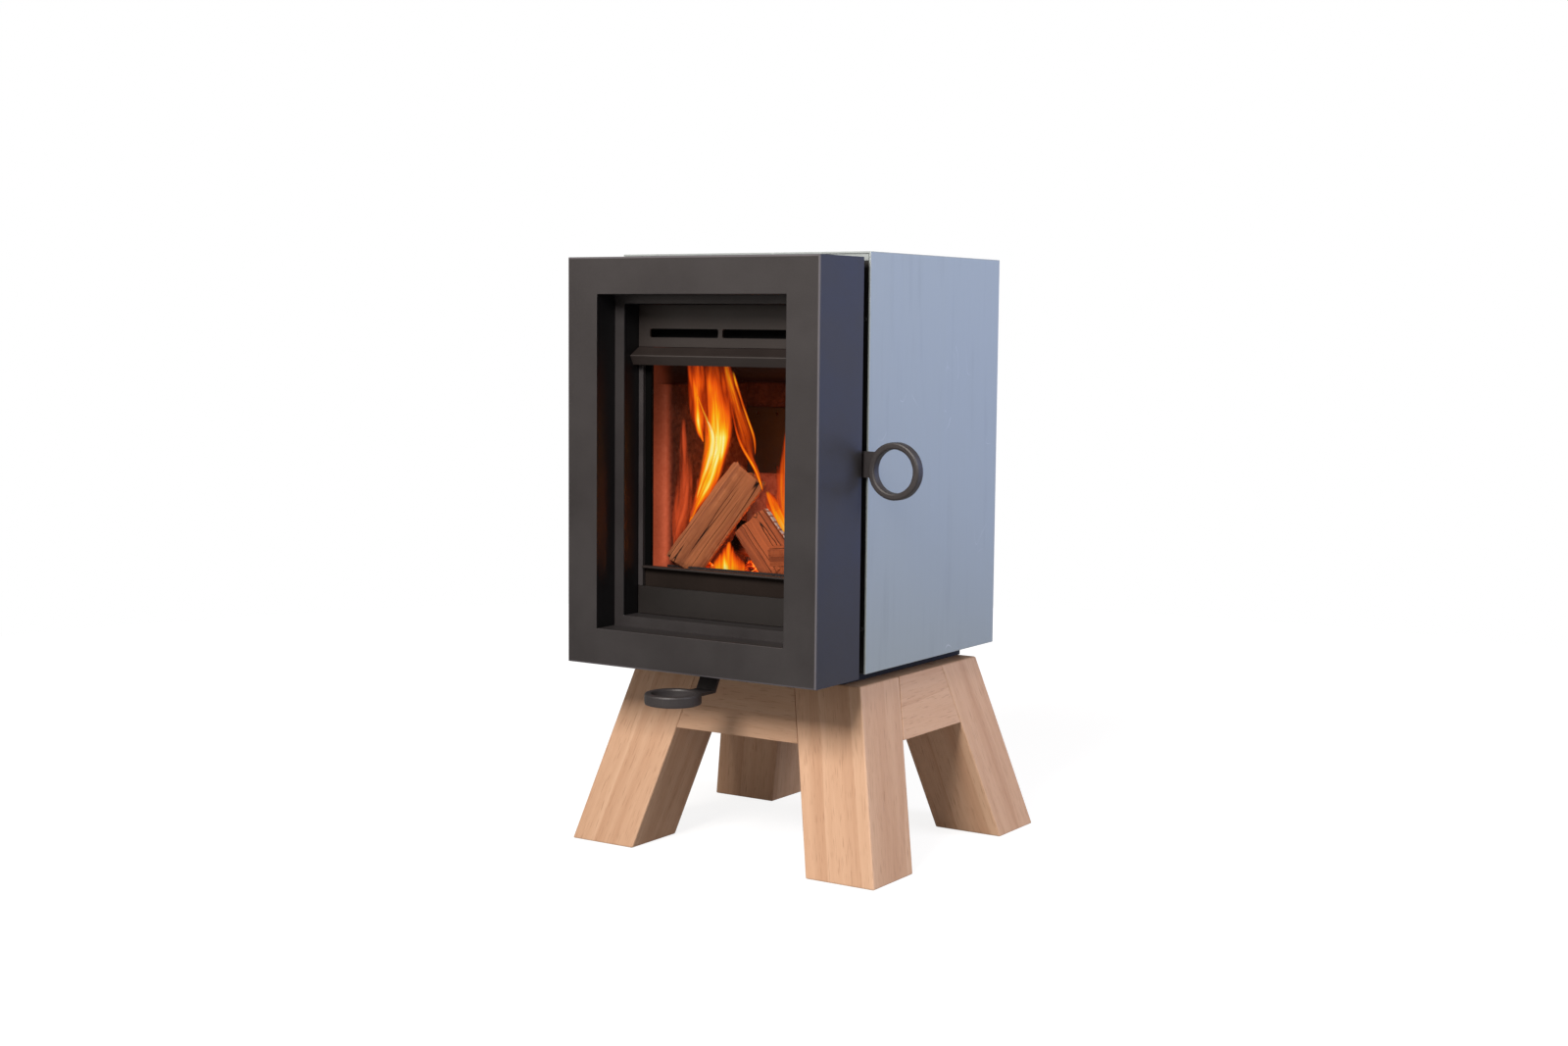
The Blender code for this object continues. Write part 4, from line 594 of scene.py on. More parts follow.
# folded sheet behind the upper panel: takes the air from its slots down over the glass; its near-black paint is painted
# shade, so the slots look black
def airWashChannel():
    low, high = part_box("air_panel")
    look = channelLook
    bottom = low.z + look["below"]
    top = high.z - look["above"]
    front = high.y + 0.0003
    clearSelection()
    bpy.ops.mesh.primitive_cube_add(size=1,
                                    location=((low.x + high.x) / 2, front + look["depth"] / 2, (bottom + top) / 2),
                                    scale=(high.x - low.x - 2 * look["fromEnd"], look["depth"], top - bottom))
    channel = bpy.context.active_object
    bpy.ops.object.transform_apply(location=False, rotation=False, scale=True)
    bpy.ops.object.mode_set(mode="EDIT")
    bpy.ops.mesh.select_mode(type="FACE")
    bpy.ops.mesh.select_all(action="DESELECT")
    bm = bmesh.from_edit_mesh(channel.data)
    for face in bm.faces:
        face.select = face.normal.y < -0.9 or face.normal.z < -0.9
    bmesh.update_edit_mesh(channel.data)
    bpy.ops.mesh.delete(type="FACE")
    bpy.ops.mesh.select_all(action="SELECT")
    bpy.ops.mesh.normals_make_consistent(inside=False)
    bpy.ops.object.mode_set(mode="OBJECT")
    wall = channel.modifiers.new("sheet", "SOLIDIFY")
    wall.thickness = look["sheet"]
    wall.offset = -1
    fold = channel.modifiers.new("folds", "BEVEL")
    fold.width = 0.0004
    fold.segments = 2
    applyAll(channel)
    finishPiece(channel, "air_wash_channel", shadowPaint, "door")


airWashChannel()
print("air wash channel: done")


# What lies in the fire chamber

floorLow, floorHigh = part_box("brick_floor")
hearth = Vector(((floorLow.x + floorHigh.x) / 2, floorLow.y, floorHigh.z))  # front middle of the floor brick's top

airPlateLook = {"low": 0.141, "high": 0.237, "half": 0.119, "thickness": 0.003, "hole": 0.0024, "holes": 7,
                "rows": (0.10, 0.90)}


# pressed steel plate on the back brick with two rows of air holes
def airPlate():
    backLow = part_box("brick_back")[0]
    look = airPlateLook
    width = look["half"] * 2
    height = look["high"] - look["low"]
    clearSelection()
    bpy.ops.mesh.primitive_cube_add(size=1,
                                    location=(hearth.x, backLow.y - look["thickness"] / 2 - 0.0002,
                                              hearth.z + (look["low"] + look["high"]) / 2),
                                    scale=(width, look["thickness"], height))
    plate = bpy.context.active_object
    bpy.ops.object.transform_apply(location=False, rotation=False, scale=True)
    bpy.ops.object.mode_set(mode="EDIT")
    bpy.ops.mesh.select_all(action="SELECT")
    bpy.ops.mesh.bevel(offset=0.0009, segments=2, affect="EDGES")
    bpy.ops.object.mode_set(mode="OBJECT")
    for row in look["rows"]:
        for i in range(look["holes"]):
            across = (i - (look["holes"] - 1) / 2) * width / look["holes"]
            clearSelection()
            bpy.ops.mesh.primitive_cylinder_add(vertices=20, radius=look["hole"], depth=0.02,
                                                rotation=(math.radians(90), 0, 0),
                                                location=(hearth.x + across, backLow.y - 0.001,
                                                          hearth.z + look["low"] + height * row))
            drill = bpy.context.active_object
            plate.select_set(True)
            bpy.context.view_layer.objects.active = plate
            cut = plate.modifiers.new("hole", "BOOLEAN")
            cut.operation = "DIFFERENCE"
            cut.solver = "EXACT"
            cut.object = drill
            bpy.ops.object.modifier_apply(modifier="hole")
            bpy.data.objects.remove(drill)
    clearSelection()
    plate.select_set(True)
    bpy.context.view_layer.objects.active = plate
    return finishPiece(plate, "air_hole_plate", ringPaint, "stove_body")


airPlate()
print("air hole plate: done")

logLook = {"face": "#B06C45", "deep": "#74402B", "redFace": "#AE5A33", "redDeep": "#713621", "crack": "#160C08",
           "char": "#0E0B0A", "ash": "#D8CFC8"}


# Split beech, air dried: pinkish brown torn fibres with long drying cracks, blackened where it burns
def splitWood(name, face, deep):
    finish, tree, shader = newFinish(name, {"Roughness": 0.85, "Specular IOR Level": 0.2})
    coords = addNode(tree, "ShaderNodeAttribute", {"attribute_name": "grain"}).outputs["Vector"]
    fibreCoords = addNode(tree, "ShaderNodeMapping", {"Scale": (330, 330, 9)}, {"Vector": coords}).outputs[0]
    fibres = addNode(tree, "ShaderNodeTexNoise", {"Scale": 1.0, "Detail": 4.0, "Roughness": 0.65},
                     {"Vector": fibreCoords})
    bandCoords = addNode(tree, "ShaderNodeMapping", {"Scale": (70, 70, 3)}, {"Vector": coords}).outputs[0]
    bands = addNode(tree, "ShaderNodeTexNoise", {"Scale": 1.0, "Detail": 3.0, "Distortion": 0.3},
                    {"Vector": bandCoords})
    tone = addNode(tree, "ShaderNodeMath", {"operation": "MULTIPLY_ADD", 1: 0.6},
                   {0: fibres.outputs[0], 2: bands.outputs[0]})
    colour = addNode(tree, "ShaderNodeValToRGB", {"stops": [(0.55, deep), (0.95, face)]}, {0: tone.outputs[0]})
    crackCoords = addNode(tree, "ShaderNodeMapping", {"Scale": (62, 62, 1.4)}, {"Vector": coords}).outputs[0]
    cracks = addNode(tree, "ShaderNodeTexNoise", {"Scale": 1.0, "Detail": 1.0}, {"Vector": crackCoords})
    fromLine = addNode(tree, "ShaderNodeMath", {"operation": "SUBTRACT", 1: 0.5}, {0: cracks.outputs[0]})
    fromLine = addNode(tree, "ShaderNodeMath", {"operation": "ABSOLUTE"}, {0: fromLine.outputs[0]})
    crack = addNode(tree, "ShaderNodeMapRange", {1: 0.002, 2: 0.012, 3: 1.0, 4: 0.0}, {0: fromLine.outputs[0]})
    patchCoords = addNode(tree, "ShaderNodeMapping", {"Scale": (40, 40, 5)}, {"Vector": coords}).outputs[0]
    patches = addNode(tree, "ShaderNodeTexNoise", {"Scale": 1.0, "Detail": 1.0}, {"Vector": patchCoords})
    patch = addNode(tree, "ShaderNodeMapRange", {1: 0.36, 2: 0.46, 3: 0.0, 4: 1.0}, {0: patches.outputs[0]})
    crack = addNode(tree, "ShaderNodeMath", {"operation": "MULTIPLY"}, {0: crack.outputs[0], 1: patch.outputs[0]})
    cracked = addNode(tree, "ShaderNodeMix", {"data_type": "RGBA", 7: toLinear(logLook["crack"])},
                      {0: crack.outputs[0], 6: colour.outputs[0]})
    burn = addNode(tree, "ShaderNodeAttribute", {"attribute_name": "burn"}).outputs["Fac"]
    burntAndPaintedShade = addNode(tree, "ShaderNodeMath", {"operation": "MULTIPLY_ADD", 1: 0.5, 2: -0.25}, {0: bands.outputs[0]})
    burntAndPaintedShade = addNode(tree, "ShaderNodeMath", {"operation": "ADD", "use_clamp": True}, {0: burntAndPaintedShade.outputs[0], 1: burn})
    burntAndPaintedShade = addNode(tree, "ShaderNodeMapRange", {1: 0.35, 2: 0.65, 3: 0.0, 4: 1.0}, {0: burntAndPaintedShade.outputs[0]})
    charred = addNode(tree, "ShaderNodeMix", {"data_type": "RGBA", 7: toLinear(logLook["char"])},
                      {0: burntAndPaintedShade.outputs[0], 6: cracked.outputs[2]})
    # white ash in short blocks along a burnt edge
    ash = addNode(tree, "ShaderNodeAttribute", {"attribute_name": "ash"}).outputs["Fac"]
    blockCoords = addNode(tree, "ShaderNodeMapping", {"Scale": (0, 0, 210)}, {"Vector": coords}).outputs[0]
    blocks = addNode(tree, "ShaderNodeTexNoise", {"Scale": 1.0, "Detail": 0.0}, {"Vector": blockCoords})
    block = addNode(tree, "ShaderNodeMapRange", {1: 0.40, 2: 0.50, 3: 0.10, 4: 0.70}, {0: blocks.outputs[0]})
    ashShare = addNode(tree, "ShaderNodeMath", {"operation": "MULTIPLY"}, {0: block.outputs[0], 1: ash})
    ashen = addNode(tree, "ShaderNodeMix", {"data_type": "RGBA", 7: toLinear(logLook["ash"])},
                    {0: ashShare.outputs[0], 6: charred.outputs[2]})
    tree.links.new(ashen.outputs[2], shader.inputs["Base Color"])
    # painted firelight: the wood's own colour also goes out as a faint emission
    tree.links.new(ashen.outputs[2], shader.inputs["Emission Color"])
    shader.inputs["Emission Strength"].default_value = 0.10
    height = addNode(tree, "ShaderNodeMath", {"operation": "SUBTRACT"}, {0: tone.outputs[0], 1: crack.outputs[0]})
    bump = addNode(tree, "ShaderNodeBump", {"Strength": 0.9, "Distance": 0.0016}, {"Height": height.outputs[0]})
    tree.links.new(bump.outputs[0], shader.inputs["Normal"])
    return finish


logWood = splitWood("split_beech", logLook["face"], logLook["deep"])
# painted firelight: a redder copy of the wood for the logs that stand in the fire's light
redWood = splitWood("split_beech_redder_in_painted_firelight", logLook["redFace"], logLook["redDeep"])
# foot and head are from the front middle of the hearth
# section is the split wedge's outline across the log, its left side first
logPlans = {
    "log_leaning_right": {
        "foot": (-0.1000, 0.0125, 0.0200), "head": (-0.031, 0.076, 0.150), "facing": (0.66, -0.74, -0.10), "seed": 3,
        "burnFoot": 0.05, "burnHead": 0.0, "ash": 0.0, "redderInPaintedFirelight": False,
        "section": [(0.030, 0.003), (0.023, 0.016), (-0.023, 0.018), (-0.026, 0.009), (-0.010, -0.020),
                    (0.016, -0.020)],
    },
    "log_leaning_left": {
        "foot": (0.050, 0.040, 0.022), "head": (-0.010, 0.050, 0.084), "facing": (0.50, -0.86, 0.10), "seed": 8,
        "burnFoot": 0.0, "burnHead": 0.15, "ash": 1.0, "redderInPaintedFirelight": True,
        "section": [(0.028, 0.012), (-0.026, 0.016), (-0.030, 0.010), (-0.020, -0.018), (0.012, -0.022),
                    (0.028, -0.004)],
    },
    "log_right": {
        "foot": (0.106, 0.060, 0.034), "head": (0.034, 0.036, 0.030), "facing": (0.45, -0.88, 0.15), "seed": 12,
        "burnFoot": 0.1, "burnHead": 0.1, "ash": 0.0, "redderInPaintedFirelight": True,
        "section": [(0.024, 0.008), (-0.020, 0.018), (-0.026, 0.006), (-0.014, -0.020), (0.012, -0.022)],
    },
    "log_behind": {
        "foot": (0.070, 0.130, 0.018), "head": (-0.075, 0.105, 0.060), "facing": (0.0, -1.0, 0.2), "seed": 21,
        "burnFoot": 0.9, "burnHead": 0.9, "ash": 0.0, "redderInPaintedFirelight": True,
        "section": [(-0.022, 0.012), (0.020, 0.014), (0.024, -0.004), (0.0, -0.022), (-0.020, -0.014)],
    },
}


# a split log: its wedge section is extruded along the grain, roughened while squashed so that the ridges run long,
# and leaned in place
def splitLog(name, plan):
    foot = hearth + Vector(plan["foot"])
    head = hearth + Vector(plan["head"])
    length = (head - foot).length
    clearSelection()
    bpy.ops.mesh.primitive_circle_add(vertices=len(plan["section"]), radius=0.02, fill_type="NGON",
                                      location=(0, 0, 0))
    log = bpy.context.active_object
    for vertex, (a, b) in zip(log.data.vertices, plan["section"]):
        vertex.co = (a, b, 0)
    bpy.ops.object.mode_set(mode="EDIT")
    bpy.ops.mesh.select_all(action="SELECT")
    squash = 0.25
    steps = 6
    for i in range(steps):
        bpy.ops.mesh.extrude_region_move(TRANSFORM_OT_translate={"value": (0, 0, length * squash / steps)})
    bpy.ops.mesh.select_all(action="SELECT")
    bpy.ops.mesh.normals_make_consistent(inside=False)
    bpy.ops.mesh.bevel(offset=0.0016, segments=1, affect="EDGES")
    bpy.ops.mesh.select_all(action="SELECT")
    bpy.ops.mesh.quads_convert_to_tris()
    bpy.ops.mesh.subdivide(number_cuts=3)
    bpy.ops.object.mode_set(mode="OBJECT")
    for scale, strength in ((0.018, 0.0045), (0.005, 0.0018)):
        clouds = bpy.data.textures.new(name + "_clouds", "CLOUDS")
        clouds.noise_scale = scale
        clouds.noise_depth = 2
        rough = log.modifiers.new("rough", "DISPLACE")
        rough.texture = clouds
        rough.texture_coords = "LOCAL"
        rough.strength = strength
        rough.mid_level = 0.5
    applyAll(log)
    log.data.transform(Matrix.Diagonal((1, 1, 1 / squash, 1)))
    log.data.attributes.new("grain", "FLOAT_VECTOR", "POINT")
    log.data.attributes.new("burn", "FLOAT", "POINT")
    log.data.attributes.new("ash", "FLOAT", "POINT")
    grain = log.data.attributes["grain"]
    burn = log.data.attributes["burn"]
    ash = log.data.attributes["ash"]
    shift = Vector((plan["seed"] * 0.37, plan["seed"] * 0.11, plan["seed"] * 0.53))
    for vertex in log.data.vertices:
        grain.data[vertex.index].vector = vertex.co + shift
        share = vertex.co.z / length
        edge = 0.9 if vertex.co.y < 0.001 and vertex.co.x < 0.020 else 0.0
        ash.data[vertex.index].value = plan["ash"] if vertex.co.x < -0.0262 and vertex.co.y > 0.002 else 0.0
        burn.data[vertex.index].value = max(plan["burnFoot"] * (1 - share * 3), plan["burnHead"] * (share * 3 - 2),
                                            edge)
    alongLog = (head - foot).normalized()
    out = Vector(plan["facing"])
    out = (out - alongLog * out.dot(alongLog)).normalized()
    across = out.cross(alongLog)
    turn = Matrix((across, out, alongLog)).transposed().to_4x4()
    log.data.transform(Matrix.Translation(foot) @ turn)
    bpy.ops.object.shade_smooth_by_angle(angle=math.radians(40))
    return finishPiece(log, name, redWood if plan["redderInPaintedFirelight"] else logWood, "stove_body")


for name, plan in logPlans.items():
    splitLog(name, plan)
print("logs: done")

emberLook = {
    "count": 26, "size": 0.009, "seed": 5, "across": (-0.095, 0.090), "back": (0.035, 0.165),
    "coal": "#15100E", "cool": "#000000", "dull": "#A01E02", "bright": "#FF5A08", "hottest": "#FFD25A", "glow": 1.6,
}


# Burning charcoal: black crazed lumps with orange heat showing through the cracks
def glowingCoal(name):
    finish, tree, shader = newFinish(name, {
        "Roughness": 0.95, "Base Color": toLinear(emberLook["coal"]), "Specular IOR Level": 0.1})
    coords = addNode(tree, "ShaderNodeTexCoord").outputs["Object"]
    lumps = addNode(tree, "ShaderNodeTexNoise", {"Scale": 75.0, "Detail": 4.0, "Roughness": 0.7, "Distortion": 0.5},
                    {"Vector": coords})
    heat = addNode(tree, "ShaderNodeValToRGB", {
        "stops": [(0.36, emberLook["cool"]), (0.46, emberLook["dull"]), (0.55, emberLook["bright"]),
                  (0.68, emberLook["hottest"])],
    }, {0: lumps.outputs[0]})
    tree.links.new(heat.outputs[0], shader.inputs["Emission Color"])
    shader.inputs["Emission Strength"].default_value = emberLook["glow"]
    bump = addNode(tree, "ShaderNodeBump", {"Strength": 0.8, "Distance": 0.002}, {"Height": lumps.outputs[0]})
    tree.links.new(bump.outputs[0], shader.inputs["Normal"])
    return finish


def emberBed():
    coal = glowingCoal("glowing_charcoal")
    dice = random.Random(emberLook["seed"])
    # the bed: a flattened ball, roughened and cut level with the brick
    clearSelection()
    bpy.ops.mesh.primitive_uv_sphere_add(segments=64, ring_count=32, radius=1,
                                         location=hearth + Vector((-0.01, 0.095, -0.004)),
                                         scale=(0.098, 0.080, 0.022))
    bed = bpy.context.active_object
    bpy.ops.object.transform_apply(location=False, rotation=False, scale=True)
    clouds = bpy.data.textures.new("bed_clouds", "CLOUDS")
    clouds.noise_scale = 0.014
    rough = bed.modifiers.new("rough", "DISPLACE")
    rough.texture = clouds
    rough.texture_coords = "LOCAL"
    rough.strength = 0.010
    applyAll(bed)
    bpy.ops.object.transform_apply(location=True, rotation=False, scale=False)
    bpy.ops.object.mode_set(mode="EDIT")
    bpy.ops.mesh.select_all(action="SELECT")
    bpy.ops.mesh.bisect(plane_co=hearth + Vector((0, 0, 0.0003)), plane_no=(0, 0, 1), use_fill=True, clear_inner=True)
    bpy.ops.object.mode_set(mode="OBJECT")
    bpy.ops.object.shade_smooth_by_angle(angle=math.radians(50))
    finishPiece(bed, "ember_bed", coal, "stove_body")
    clearSelection()
    bpy.ops.mesh.primitive_ico_sphere_add(subdivisions=3, radius=emberLook["size"], location=(0, 0, 0))
    lump = bpy.context.active_object
    cells = bpy.data.textures.new("lump_cells", "VORONOI")
    cells.noise_scale = 0.009
    rough = lump.modifiers.new("rough", "DISPLACE")
    rough.texture = cells
    rough.texture_coords = "LOCAL"
    rough.strength = 0.007
    applyAll(lump)
    bpy.ops.object.shade_smooth_by_angle(angle=math.radians(40))
    for i in range(emberLook["count"]):
        size = 0.55 + 0.7 * dice.random()
        place = hearth + Vector((dice.uniform(*emberLook["across"]), dice.uniform(*emberLook["back"]),
                                 0.008 + 0.012 * dice.random()))
        turn = Matrix.Rotation(dice.uniform(0, 6.28), 4, "Z") @ Matrix.Rotation(dice.uniform(0, 6.28), 4, "X")
        copy = lump.copy()
        copy.data = lump.data.copy()
        copy.data.transform(Matrix.Translation(place) @ turn @ Matrix.Diagonal((size, size * 0.8, size * 0.7, 1)))
        copy.name = "ember_" + str(i + 1)
        copy.data.name = copy.name
        copy.data.materials.append(coal)
        bpy.context.scene.collection.objects.link(copy)
        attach(copy, "stove_body")
    bpy.data.objects.remove(lump)


emberBed()
print("embers: done")


# Burning wood gas: glowing sheets that are seen through, yellow where hot and red at their thin edges,
# in streaks along the way they rise
def flameGas(name, colours, density, softness):
    finish, tree, shader = newFinish(name, {"Base Color": (0, 0, 0, 1), "Roughness": 1.0, "Specular IOR Level": 0.0})
    edge = addNode(tree, "ShaderNodeAttribute", {"attribute_name": "edge"}).outputs["Fac"]
    hot = addNode(tree, "ShaderNodeAttribute", {"attribute_name": "hotness"}).outputs["Fac"]
    rise = addNode(tree, "ShaderNodeAttribute", {"attribute_name": "rise"}).outputs["Fac"]
    flow = addNode(tree, "ShaderNodeAttribute", {"attribute_name": "flow"}).outputs["Vector"]
    lickCoords = addNode(tree, "ShaderNodeMapping", {"Scale": (120, 60, 13)}, {"Vector": flow}).outputs[0]
    licks = addNode(tree, "ShaderNodeTexNoise", {"Scale": 1.0, "Detail": 2.0, "Distortion": 0.5},
                    {"Vector": lickCoords})
    threadCoords = addNode(tree, "ShaderNodeMapping", {"Scale": (380, 200, 22)}, {"Vector": flow}).outputs[0]
    threads = addNode(tree, "ShaderNodeTexNoise", {"Scale": 1.0, "Detail": 1.0, "Distortion": 0.4},
                      {"Vector": threadCoords})
    streak = addNode(tree, "ShaderNodeMath", {"operation": "MULTIPLY_ADD", 1: 0.35},
                     {0: threads.outputs[0], 2: licks.outputs[0]})
    core = addNode(tree, "ShaderNodeMapRange",
                   {1: 0.0, 2: 1.0, 3: 0.22, 4: -0.42, "interpolation_type": "SMOOTHSTEP"}, {0: edge})
    heat = addNode(tree, "ShaderNodeMath", {"operation": "ADD"}, {0: hot, 1: core.outputs[0]})
    heat = addNode(tree, "ShaderNodeMath", {"operation": "MULTIPLY_ADD", 1: 1.1},
                   {0: streak.outputs[0], 2: heat.outputs[0]})
    heat = addNode(tree, "ShaderNodeMath", {"operation": "SUBTRACT", 1: 0.74}, {0: heat.outputs[0]})
    stops = list(zip((0.0, 0.22, 0.42, 0.60, 0.76, 0.92, 1.0), colours))
    colour = addNode(tree, "ShaderNodeValToRGB", {"stops": stops}, {0: heat.outputs[0]})
    alpha = addNode(tree, "ShaderNodeMapRange",
                    {1: -0.12, 2: softness, 3: 0.0, 4: density, "interpolation_type": "SMOOTHSTEP"},
                    {0: heat.outputs[0]})
    tip = addNode(tree, "ShaderNodeMapRange", {1: 0.84, 2: 1.0, 3: 1.0, 4: 0.0, "interpolation_type": "SMOOTHSTEP"},
                  {0: rise})
    rim = addNode(tree, "ShaderNodeMapRange", {1: 0.70, 2: 1.0, 3: 1.0, 4: 0.0, "interpolation_type": "SMOOTHSTEP"},
                  {0: edge})
    alpha = addNode(tree, "ShaderNodeMath", {"operation": "MULTIPLY"}, {0: alpha.outputs[0], 1: tip.outputs[0]})
    alpha = addNode(tree, "ShaderNodeMath", {"operation": "MULTIPLY"}, {0: alpha.outputs[0], 1: rim.outputs[0]})
    tree.links.new(colour.outputs[0], shader.inputs["Emission Color"])
    shader.inputs["Emission Strength"].default_value = 1.05
    tree.links.new(alpha.outputs[0], shader.inputs["Alpha"])
    return finish


hotColours = ("#6E1604", "#C23A0C", "#F25A10", "#FF8610", "#FFB818", "#FFE660", "#FFF4A8")
faintColours = ("#5A1A10", "#9A3418", "#C84A24", "#E0562C", "#EC6432", "#F47A40", "#FF9A5A")
hotGas = flameGas("burning_gas_hot", hotColours, 0.90, 0.50)
coreGas = flameGas("burning_gas_core", hotColours, 0.50, 0.90)
thinGas = flameGas("burning_gas_thin", hotColours, 0.60, 0.70)
faintGas = flameGas("burning_gas_faint", faintColours, 0.55, 0.75)
# each station: across, back and up from the front middle of the hearth, half width, heat
flamePlans = {
    "flame_main": {"finish": hotGas, "stations": [
        (-0.108, 0.038, 0.078, 0.002, 0.35), (-0.097, 0.039, 0.100, 0.007, 0.48), (-0.087, 0.040, 0.116, 0.012, 0.62),
        (-0.078, 0.040, 0.134, 0.014, 0.68), (-0.071, 0.040, 0.154, 0.017, 0.72), (-0.063, 0.040, 0.180, 0.019, 0.80),
        (-0.060, 0.040, 0.200, 0.020, 0.84), (-0.060, 0.040, 0.222, 0.024, 0.55), (-0.062, 0.040, 0.250, 0.029, 0.30),
        (-0.066, 0.040, 0.285, 0.032, 0.14), (-0.070, 0.041, 0.325, 0.032, 0.05)]},
    "flame_notch": {"finish": hotGas, "stations": [
        (-0.081, 0.034, 0.192, 0.001, 0.40), (-0.086, 0.034, 0.204, 0.006, 0.52), (-0.089, 0.034, 0.222, 0.011, 0.56),
        (-0.089, 0.034, 0.240, 0.015, 0.40), (-0.090, 0.034, 0.262, 0.018, 0.24), (-0.094, 0.035, 0.290, 0.021, 0.12),
        (-0.100, 0.036, 0.325, 0.022, 0.04)]},
    "flame_core": {"finish": coreGas, "stations": [
        (-0.090, 0.030, 0.262, 0.001, 0.45), (-0.082, 0.030, 0.240, 0.003, 0.60), (-0.067, 0.030, 0.216, 0.005, 0.85),
        (-0.062, 0.030, 0.198, 0.006, 0.95), (-0.065, 0.030, 0.178, 0.006, 0.95), (-0.074, 0.031, 0.154, 0.006, 0.80),
        (-0.085, 0.031, 0.130, 0.004, 0.70), (-0.092, 0.031, 0.106, 0.001, 0.60)]},
    "flame_right_sheet": {"finish": thinGas, "stations": [
        (0.008, 0.050, 0.130, 0.001, 0.30), (0.000, 0.050, 0.152, 0.003, 0.36), (-0.012, 0.050, 0.172, 0.007, 0.34),
        (-0.018, 0.050, 0.192, 0.014, 0.30), (-0.023, 0.050, 0.210, 0.015, 0.30), (-0.033, 0.050, 0.232, 0.014, 0.32),
        (-0.045, 0.050, 0.268, 0.011, 0.30), (-0.056, 0.051, 0.300, 0.009, 0.22), (-0.062, 0.052, 0.330, 0.007, 0.15)]},
    "flame_right_ribbon": {"finish": hotGas, "stations": [
        (0.009, 0.048, 0.128, 0.001, 0.50), (0.003, 0.048, 0.146, 0.003, 0.66), (-0.010, 0.048, 0.168, 0.004, 0.62),
        (-0.026, 0.048, 0.186, 0.004, 0.48), (-0.034, 0.048, 0.205, 0.004, 0.40), (-0.041, 0.048, 0.228, 0.003, 0.30),
        (-0.047, 0.048, 0.255, 0.002, 0.20)]},
    "flame_right_rim": {"finish": thinGas, "stations": [
        (-0.007, 0.052, 0.176, 0.001, 0.30), (-0.007, 0.052, 0.196, 0.003, 0.42), (-0.014, 0.052, 0.214, 0.003, 0.44),
        (-0.024, 0.052, 0.236, 0.003, 0.44), (-0.036, 0.052, 0.266, 0.003, 0.40), (-0.048, 0.052, 0.300, 0.003, 0.30)]},
    "flame_left": {"finish": faintGas, "stations": [
        (-0.128, 0.020, 0.030, 0.006, 0.44), (-0.120, 0.022, 0.060, 0.016, 0.46), (-0.111, 0.024, 0.090, 0.020, 0.44),
        (-0.105, 0.024, 0.125, 0.017, 0.40), (-0.105, 0.024, 0.160, 0.012, 0.34), (-0.107, 0.024, 0.200, 0.008, 0.28),
        (-0.108, 0.024, 0.236, 0.004, 0.18)]},
    "flame_wisp": {"finish": faintGas, "stations": [
        (-0.104, 0.036, 0.086, 0.004, 0.30), (-0.098, 0.036, 0.106, 0.009, 0.26), (-0.093, 0.036, 0.126, 0.008, 0.18),
        (-0.092, 0.036, 0.150, 0.003, 0.10)]},
    "flame_right_low": {"finish": hotGas, "stations": [
        (0.044, 0.080, 0.040, 0.020, 0.62), (0.030, 0.082, 0.064, 0.021, 0.66), (0.016, 0.084, 0.086, 0.018, 0.58),
        (0.003, 0.084, 0.106, 0.012, 0.40), (-0.010, 0.084, 0.132, 0.004, 0.26)]},
    "flame_right_tall": {"finish": thinGas, "stations": [
        (0.040, 0.086, 0.050, 0.024, 0.48), (0.030, 0.086, 0.080, 0.026, 0.52), (0.024, 0.086, 0.110, 0.022, 0.46),
        (0.021, 0.086, 0.145, 0.017, 0.40), (0.022, 0.086, 0.180, 0.010, 0.34), (0.023, 0.086, 0.220, 0.003, 0.20)]},
    "flame_right_far": {"finish": thinGas, "stations": [
        (0.070, 0.080, 0.050, 0.016, 0.40), (0.066, 0.080, 0.085, 0.015, 0.40), (0.058, 0.080, 0.120, 0.010, 0.34),
        (0.060, 0.080, 0.155, 0.006, 0.28), (0.064, 0.080, 0.190, 0.002, 0.20)]},
    "flame_between_logs": {"finish": hotGas, "stations": [
        (-0.036, 0.034, 0.003, 0.038, 0.66), (-0.036, 0.034, 0.018, 0.032, 0.70), (-0.037, 0.034, 0.032, 0.020, 0.62),
        (-0.038, 0.034, 0.046, 0.009, 0.50), (-0.036, 0.034, 0.061, 0.002, 0.40)]},
}


